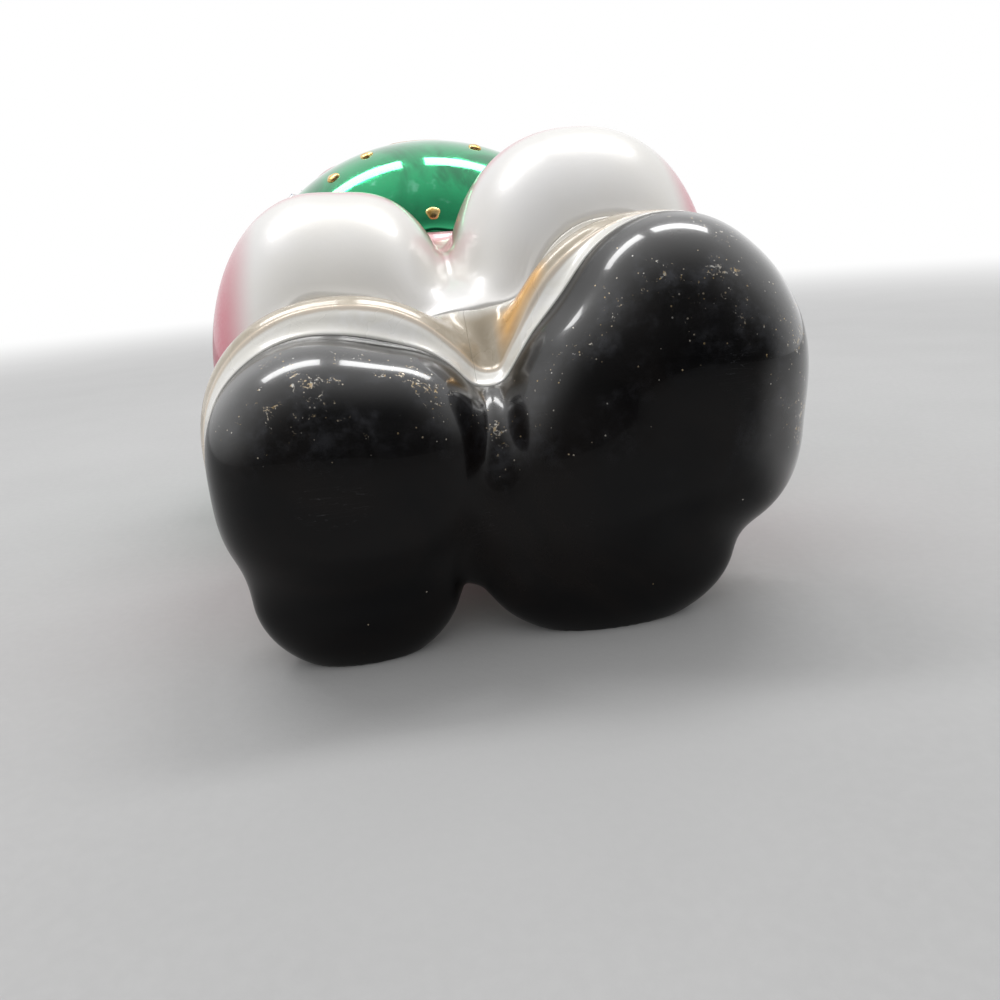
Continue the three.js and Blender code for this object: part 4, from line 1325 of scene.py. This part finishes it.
mottle = skin.noise(500, 5, 0.65)
flesh = skin.mix(skin.ramp(mottle, 0.3, 0.7), (0.74, 0.46, 0.34, 1), (0.82, 0.55, 0.42, 1))
for x, y, radius, soft, strength in (
    (7.2, head_at - 1.2, 1.9, 1.9, 0.62),
    (-7.2, head_at - 1.2, 1.9, 1.9, 0.62),
    (0, head_at + 0.1, 1.4, 1.5, 0.5),
):
    warm = skin.math("MULTIPLY", spot(skin, x, y, radius, soft), strength)
    flesh = skin.mix(warm, flesh, (0.72, 0.16, 0.14, 1))
# Painted shade: a darker brown patch round each eye, in its moulded socket.
for x in (eye_x, -eye_x):
    shaded = skin.math("MULTIPLY", spot(skin, x, eye_at, 1.9, 0.5, 0.75), 0.3)
    flesh = skin.mix(shaded, flesh, (0.5, 0.2, 0.15, 1))
skin.set(
    base_color=flesh,
    roughness=skin.ramp(mottle, 0.3, 0.7, 0.28, 0.42),
    subsurface_weight=0.15,
    subsurface_scale=0.0008,
    coat_weight=0.35,
    coat_roughness=0.1,
    normal=skin.bump(mottle, 0.00005, 0.5),
)
face_rows = 210
face_columns = 110
over_face = np.linspace(-face_half_width, face_half_width, face_rows)
up_face = np.linspace(face_start, hat_start + 0.4, face_columns)
grid_x, grid_y = np.meshgrid(over_face, up_face, indexing="ij")
face_centres = np.stack([grid_x, grid_y, 0 * grid_x + neck_height], -1).reshape(-1, 3)
face_rays = face_centres, np.broadcast_to([0, 0, 1.0], face_centres.shape)
face = paint("face_coat", face_rays, face_rows, face_columns, skin.material, relief=features, closed=False)
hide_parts("face_lacquer")
for way, hand in ((1, "left"), (-1, "right")):
    eye = Shader(f"eye_{hand}")
    veins = eye.noise(900, 4, 0.6)
    look = eye.mix(veins, (0.8, 0.79, 0.77, 1), (0.88, 0.87, 0.85, 1))
    iris = eye.mix(eye.noise(2600, 3, 0.7), (0.03, 0.12, 0.3, 1), (0.1, 0.32, 0.55, 1))
    look = eye.mix(spot(eye, way * eye_x, eye_at, 0.92, 0.04), look, (0.01, 0.03, 0.08, 1))
    look = eye.mix(spot(eye, way * eye_x, eye_at, 0.8, 0.05), look, iris)
    look = eye.mix(spot(eye, way * eye_x, eye_at, 0.4, 0.04), look, (0.004, 0.004, 0.005, 1))
    # Painted highlight: a small white dot on each iris, up and to one side of the pupil.
    look = eye.mix(spot(eye, way * eye_x - 0.32, eye_at + 0.32, 0.17, 0.03), look, (0.95, 0.95, 0.95, 1))
    eye.set(
        base_color=look,
        roughness=eye.ramp(veins, 0.3, 0.7, 0.08, 0.16),
        coat_weight=0.8,
        coat_roughness=0.03,
        normal=eye.bump(veins, 0.00002, 0.4),
    )
    (seat,), (normal,) = on_front(way * eye_x, eye_at, 0.0)
    dome = lump(*(seat - normal * 0.55), eye_radius, eye_radius * 0.72, 1.35)
    eyeball = lump_object(
        f"eye_{hand}", dome, seat - normal * 0.55, 40, 56, eye.material, lift=0.0, poles=2
    )

# Lids and lashes. A fine dark line painted with a pointed brush along each upper lid, and a thin raised rim
# of flesh lacquer below each eye.
dark = Shader("lash_paint")
dark_grain = dark.noise(1500, 3)
dark.set(
    base_color=dark.mix(dark_grain, (0.02, 0.011, 0.008, 1), (0.05, 0.028, 0.02, 1)),
    roughness=dark.ramp(dark_grain, 0.3, 0.7, 0.25, 0.45),
    normal=dark.bump(dark_grain, 0.00003, 0.5),
)
for way, hand in ((1, "left"), (-1, "right")):
    along = np.linspace(-1, 1, 33)
    for part, height, bow, thick, lift, paint_of in (
        ("lash_line", 0.88, 0.95, 0.15, 0.72, dark),
        ("lower_lid", -0.86, -0.6, 0.17, 0.5, skin),
    ):
        x = way * eye_x + way * 1.95 * along
        y = eye_at + height - bow * (1 - np.sqrt(np.clip(1.02 - along**2, 0, 1)))
        points, normals = on_front(x, y, lift)
        sunk = 0.5 * np.abs(along) ** 3
        points = points - normals * sunk[:, None]
        line = sweep(points, thick * (1 - 0.6 * along**4), normals, 12)
        stroke = mesh_object(f"{part}_{hand}", *line, paint_of.material)

# Brows. Two short moulded brows over the sockets, combed outwards, frosted and strewn with glitter like the
# beard.
for way, hand in ((1, "left"), (-1, "right")):
    along = np.linspace(0, 1, 30)
    x = way * (2.0 + 5.6 * along)
    y = eye_at + 2.05 + 0.75 * np.sin(along * 2.6) - 0.35 * along**2
    points, normals = on_front(x, y, 0.85)
    radii = 0.72 * np.sin(np.pi * (0.14 + 0.84 * along)) ** 0.6
    combed = sweep(points, radii, normals, 30, 0.8, groove=hairs(8, way * 9.0, 0.3))
    brow = mesh_object(f"brow_{hand}", *combed, frost.material, grow=glitter(0.8, 70 + way))

# Hat band. The fur roll round the hat, moulded in staggered rows of tufts, each with finer curls on it. It is
# frosted and strewn with glitter.
tufts_round = 24
tuft_rows = 3
tuft_reach = 2.7
tuft_depth = 1.1
fine_curls = tufts(1.15, 0.42, 81)


def band_relief(points, normals):
    x, y, z = points.T
    pitch = 2 * np.pi / tufts_round
    turn = np.arctan2(z - neck_height, x)
    rise = np.zeros(len(points))
    for row in range(tuft_rows):
        nearest = np.round(turn / pitch - row / 2)
        for tuft in (nearest - 1, nearest, nearest + 1):
            number = (tuft + tufts_round) % tufts_round
            angle = (tuft + row / 2) * pitch + 0.05 * np.sin(3.7 * number + 2 * row)
            line = hat_start + hat_band_width * (row + 0.5) / tuft_rows + 0.35 * np.sin(2.3 * number + row)
            gap = np.hypot(hat_band_half_width * (turn - angle), y - line) / tuft_reach
            rise = np.maximum(rise, 1 - gap * gap)
    tuft = tuft_depth * np.sqrt(rise) * np.clip((z - 1) / 3, 0, 1)
    return tuft + fine_curls(points, normals) * np.clip((z - 0.6) / 2, 0.1, 1)


band = coat(
    "hat_band_coat",
    hat_start + 0.05,
    crown_start,
    frost.material,
    step=0.22,
    columns=560,
    ragged=0.3,
    relief=band_relief,
    seed=6.0,
    grow=glitter(0.9, 82),
)
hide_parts("hat_fur_band")


# Hat. The crown in transparent red lacquer over silver. It rises to the neck of the glass, and its tail
# folds over to the figure's left, so the cloth creases where it bends.
def hat_folds(points, normals):
    x, y, z = points.T
    folded = np.clip((x - 4) / 8, 0, 1)
    along = 0.55 * x - 0.35 * (y - crown_start) + 0.25 * (z - neck_height)
    bends = np.abs(np.sin(0.62 * along + 0.8 * np.sin(0.2 * z))) ** 0.8
    turn = np.arctan2(z - neck_height, x)
    gathers = np.clip((crown_start + 5 - y) / 5, 0, 1) * np.abs(np.sin(9 * turn + 0.3 * y)) ** 0.8
    return (0.7 * folded * bends + 0.5 * gathers * (1 - folded)) * np.clip((neck_start - 1 - y) / 4, 0, 1)


crown = coat(
    "hat_coat",
    crown_start - 0.35,
    neck_start,
    red.material,
    step=0.3,
    columns=520,
    relief=hat_folds,
    seed=7.0,
)
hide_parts("hat_lacquer")

# Pompom. A round tuft moulded at the end of the hat's tail, frosted and strewn with glitter like the other
# furs.
bobble = lump_object(
    "pompom_moulded",
    pompom,
    pompom_centre,
    140,
    200,
    frost.material,
    lift=0.4,
    relief=tufts(2.1, 1.15, 91),
    grow=glitter(1.0, 92),
)
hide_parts("pompom_frosting")

# Crown cap. Stamped from thin gold-tinted metal: a flat top with a ring of pressed beads and two holes for
# the wire, a rounded shoulder, and a fluted skirt that flares at its rolled edge. It is pushed over the
# open neck of the glass.
cap_wall = 0.4
cap_skirt = 6.2
flutes = 12
flute_depth = 0.35
wire_radius = 0.45
wire_spacing = 3.8
fit = 0.35
cap_inner = neck_radius + fit
cap_outer = cap_inner + cap_wall
cap_under = cap_top - cap_wall
skirt_end = cap_top - cap_skirt
cap_shoulder = 0.8
cap_edge = cap_outer - cap_shoulder
cap_flare = 0.7
bead_ring = 3.9
bead_height = 0.16
bead_count = 24


def skirt_line(base, shares):
    """Points down the flared skirt: radius, place along the neck, and how far the flutes stand out."""
    radii = base + cap_flare * np.clip(shares - 0.5, 0, 1) ** 2 / 0.25
    along = cap_top - cap_shoulder + (skirt_end - cap_top + cap_shoulder) * shares
    return list(zip(radii, along, np.minimum(1, shares * 1.5)))


profile = [(r, cap_top, 0) for r in np.linspace(0.2, cap_edge, 30)]
for bend in np.radians(range(10, 91, 10)):
    drop = cap_shoulder - cap_shoulder * math.cos(bend)
    profile.append((cap_edge + cap_shoulder * math.sin(bend), cap_top - drop, 0))
profile += skirt_line(cap_outer, np.linspace(0.04, 1, 26))
profile += [(cap_outer + 0.82, skirt_end - 0.12, 1), (cap_outer + 0.6, skirt_end - 0.14, 1)]
profile += [(cap_outer + cap_flare - cap_wall, skirt_end + 0.05, 1)]
profile += skirt_line(cap_inner, np.linspace(0.96, 0.06, 20))
profile += [(r, cap_under, 0) for r in (cap_inner, *np.linspace(cap_inner - 0.4, 0.2, 12))]
profile = np.array(profile)
cap_columns = flutes * 22
turn = np.arange(cap_columns) * 2 * np.pi / cap_columns
wave = 0.5 + 0.5 * np.cos(turn * flutes)
radius = profile[:, :1] + profile[:, 2:] * flute_depth * wave ** 0.8
spokes = np.exp(-((np.abs((turn / (2 * np.pi) * bead_count) % 1 - 0.5) / 0.24) ** 2))
beads = np.exp(-(((profile[:, :1] - bead_ring) / 0.3) ** 2)) * spokes
rise = bead_height * beads * (profile[:, 1:2] > cap_top - 0.01) * (profile[:, :1] < cap_edge)
cap_points = np.stack(
    [-radius * np.cos(turn), profile[:, 1:2] + rise + 0 * turn, neck_height + radius * np.sin(turn)], -1
).reshape(-1, 3)
around = np.arange(cap_columns)
last = around + (len(profile) - 1) * cap_columns
cap_points = np.concatenate([cap_points, [[0, cap_top, neck_height], [0, cap_under, neck_height]]])
tips = np.concatenate(
    [
        np.stack([np.full(cap_columns, len(cap_points) - 2), around, np.roll(around, -1)], 1),
        np.stack([np.full(cap_columns, len(cap_points) - 1), np.roll(last, -1), last], 1),
    ]
)


def pierce(piece):
    """The two wire holes, cut through the cap's top."""
    sizes = {"Hole radius": (wire_radius + fit) / 1000, "Drill depth": 0.004}
    nodes, given, result = growing_nodes("cap_holes", sizes)
    whole = {"Mesh 1": given["Geometry"]}
    cut = nodes.add("GeometryNodeMeshBoolean", whole, operation="DIFFERENCE", solver="EXACT")
    drilling = {"Vertices": 32, "Radius": given["Hole radius"], "Depth": given["Drill depth"]}
    for way in (1, -1):
        drill = nodes.add("GeometryNodeMeshCylinder", drilling)
        middle = (way * wire_spacing / 2000, (cap_top + shift) / 1000, neck_height / 1000)
        placing = {
            "Geometry": drill.outputs["Mesh"], "Rotation": (math.pi / 2, 0, 0), "Translation": middle
        }
        nodes.put(cut.inputs["Mesh 2"], nodes.add("GeometryNodeTransform", placing).outputs["Geometry"])
    nodes.put(result, coloured(nodes, cut.outputs["Mesh"], tin.material))
    applied(piece, nodes, sizes)


tin = Shader("cap_metal")
tin_grain = tin.noise(600, 5, 0.7)
rolled = tin.add("ShaderNodeMapping", {"Vector": tin.place, "Scale": (500, 500, 6000)}).outputs[0]
lines = tin.noise(1.0, 3, 0.6, 0.0, rolled)
tarnish = tin.ramp(tin.noise(180, 5, 0.65), 0.5, 0.75)
bright = tin.mix(tin.ramp(tin_grain, 0.3, 0.7), (0.68, 0.46, 0.17, 1), (0.9, 0.68, 0.34, 1))
tin.set(
    base_color=tin.mix(tin.math("MULTIPLY", tarnish, 0.7), bright, (0.3, 0.19, 0.08, 1)),
    metallic=1.0,
    roughness=tin.math("MULTIPLY_ADD", tarnish, 0.25, tin.ramp(lines, 0.3, 0.7, 0.14, 0.26)),
    normal=tin.bump(lines, 0.00003, 0.5, tin.bump(tin_grain, 0.00005, 0.4)),
)
cap_faces = [grid_faces(len(profile), cap_columns), tips]
cap = mesh_object("crown_cap_stamped", cap_points, cap_faces, tin.material, body="cap", grow=pierce)
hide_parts("crown_cap")

# Spring hanger. One drawn steel wire: a round loop above the cap, a twistless crossing through the two
# holes, and two legs that spring apart inside the neck and hold the cap on.
loop_inner = 4
leg_length = 15
loop_radius = loop_inner + wire_radius
foot = math.asin(wire_spacing / 2 / loop_radius)
loop_stem = 1.4
loop_centre = cap_top + wire_radius + loop_radius * math.cos(foot) + loop_stem
leg_reach = neck_radius - glass_wall - fit - wire_radius
half_gap = wire_spacing / 2
leg_line = [
    (leg_reach * 0.82, cap_top - leg_length),
    (leg_reach, cap_top - leg_length * 0.78),
    ((leg_reach + half_gap) / 2, cap_top - leg_length * 0.5),
    (half_gap, cap_top - leg_length * 0.34),
    (half_gap, cap_top - cap_wall),
    (half_gap, cap_top + 0.9),
]
opening = foot + 0.32
loop_turns = np.linspace(math.pi + opening, 3 * math.pi - opening, 15)
loop_line = [(loop_radius * math.sin(t), loop_centre + loop_radius * math.cos(t)) for t in loop_turns]
knots = np.array([(-x, y) for x, y in leg_line] + loop_line + leg_line[::-1])


def smooth_line(knots, steps=14):
    """A centripetal Catmull-Rom curve through the knots."""
    ends = np.concatenate([[2 * knots[0] - knots[1]], knots, [2 * knots[-1] - knots[-2]]])
    points = []
    for p0, p1, p2, p3 in zip(ends, ends[1:], ends[2:], ends[3:]):
        t = np.cumsum([0] + [math.sqrt(np.linalg.norm(b - a)) for a, b in ((p0, p1), (p1, p2), (p2, p3))])
        for s in np.linspace(t[1], t[2], steps, endpoint=False):
            a1 = p0 + (p1 - p0) * (s - t[0]) / (t[1] - t[0])
            a2 = p1 + (p2 - p1) * (s - t[1]) / (t[2] - t[1])
            a3 = p2 + (p3 - p2) * (s - t[2]) / (t[3] - t[2])
            b1 = a1 + (a2 - a1) * (s - t[0]) / (t[2] - t[0])
            b2 = a2 + (a3 - a2) * (s - t[1]) / (t[3] - t[1])
            points.append(b1 + (b2 - b1) * (s - t[1]) / (t[2] - t[1]))
    return np.array(points + [knots[-1]])


wire_line = smooth_line(knots)
wire_path = np.stack([wire_line[:, 0], wire_line[:, 1], np.full(len(wire_line), neck_height)], -1)
wire = Shader("spring_wire")
drawn = wire.noise(1400, 4, 0.7)
dull = wire.ramp(wire.noise(260, 4, 0.6), 0.45, 0.7)
wire.set(
    base_color=wire.mix(dull, (0.72, 0.71, 0.68, 1), (0.42, 0.4, 0.37, 1)),
    metallic=1.0,
    roughness=wire.ramp(drawn, 0.3, 0.7, 0.18, 0.34),
    normal=wire.bump(drawn, 0.00003, 0.5),
)


def thicken(piece):
    """The wire's round section carried along its route."""
    sizes = {"Wire radius": wire_radius / 1000}
    nodes, given, result = growing_nodes("wire_section", sizes)
    route = nodes.add("GeometryNodeMeshToCurve", {"Mesh": given["Geometry"]})
    circle = {"Resolution": 20, "Radius": given["Wire radius"]}
    section = nodes.add("GeometryNodeCurvePrimitiveCircle", circle)
    sweeping = {
        "Curve": route.outputs["Curve"], "Profile Curve": section.outputs["Curve"], "Fill Caps": True
    }
    solid = nodes.add("GeometryNodeCurveToMesh", sweeping)
    rounded = nodes.add("GeometryNodeSetShadeSmooth", {"Geometry": solid.outputs["Mesh"]})
    nodes.put(result, coloured(nodes, rounded.outputs["Geometry"], wire.material))
    applied(piece, nodes, sizes)


route_mesh = bpy.data.meshes.new("spring_hanger_wire")
route_points = (wire_path + (0, shift, 0)) / 1000
route_mesh.from_pydata(route_points.tolist(), [(i, i + 1) for i in range(len(route_points) - 1)], [])
hanger = bpy.data.objects.new("spring_hanger_wire", route_mesh)
bpy.context.scene.collection.objects.link(hanger)
thicken(hanger)
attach(hanger, "hanger")
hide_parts("spring_hanger")

# Table and light. A plain pale table that fades to white far from the ornament, two long soft lamps side by
# side above and behind it, whose twin reflections lie on the toe rims, and a pale room that is dark behind
# the camera.
table = Shader("table")
weave = table.noise(900, 4, 0.6)
table.set(
    base_color=table.mix(
        table.ramp(table.noise(30, 3), 0.3, 0.7), (0.57, 0.57, 0.57, 1), (0.59, 0.59, 0.59, 1)
    ),
    roughness=table.ramp(weave, 0.3, 0.7, 0.6, 0.8),
    normal=table.bump(weave, 0.0001, 0.3),
)
far_off = table.add("ShaderNodeVectorMath", {0: table.place}, operation="LENGTH").outputs["Value"]
paper = table.add("ShaderNodeEmission", {"Color": (1, 1, 1, 1), "Strength": 1.0})
seen_from_camera = table.add("ShaderNodeLightPath").outputs["Is Camera Ray"]
fade = table.math("MULTIPLY", table.ramp(far_off, 0.16, 0.7), seen_from_camera)
faded = table.add("ShaderNodeMixShader", {0: fade, 1: table.surface.outputs[0], 2: paper.outputs[0]})
table.tree.links.new(faded.outputs[0], table.tree.nodes["Material Output"].inputs["Surface"])
bpy.ops.mesh.primitive_plane_add(size=3)
floor = bpy.context.object
floor.name = "floor"
floor.data.materials.append(table.material)

world = bpy.data.worlds.new("studio")
bpy.context.scene.world = world
world.use_nodes = True
room = Nodes(world.node_tree)
glow = world.node_tree.nodes["Background"].inputs
path = room.add("ShaderNodeLightPath").outputs
toward = room.add(
    "ShaderNodeSeparateXYZ", {0: room.add("ShaderNodeTexCoord").outputs["Generated"]}
).outputs["Y"]


def room_light(behind, ahead):
    """The room's brightness from behind the camera to the far side."""
    ends = {"Value": toward, "From Min": -0.8, "From Max": 0.2, "To Min": behind, "To Max": ahead}
    return room.add("ShaderNodeMapRange", ends, interpolation_type="SMOOTHSTEP").outputs["Result"]


def chosen(share, usual, special):
    return room.add("ShaderNodeMix", {0: share, 2: usual, 3: special}).outputs[0]


straight = room.math("MAXIMUM", path["Is Camera Ray"], path["Is Transmission Ray"])
reflected = chosen(path["Is Glossy Ray"], room_light(0.8, 0.5), room_light(0.05, 1.0))
room.put(glow["Color"], (1, 1, 1, 1))
room.put(glow["Strength"], chosen(straight, reflected, 1.0))
lamp_length = 0.25
lamp_width = 0.065
lamp_power = 0.46
lamp_beyond = 0.1
lamp_height = 0.4
lamp_tilt = math.radians(-19)
for lamp_name, x in (("lamp_right", -0.148), ("lamp_left", 0.152)):
    lamp = bpy.data.objects.new(lamp_name, bpy.data.lights.new(lamp_name, "AREA"))
    lamp.data.shape = "RECTANGLE"
    lamp.data.size = lamp_length
    lamp.data.size_y = lamp_width
    lamp.data.energy = lamp_power
    lamp.location = (x, lamp_beyond, lamp_height)
    lamp.rotation_euler = (lamp_tilt, 0, 0)
    bpy.context.scene.collection.objects.link(lamp)
bpy.context.scene.view_settings.view_transform = "Standard"
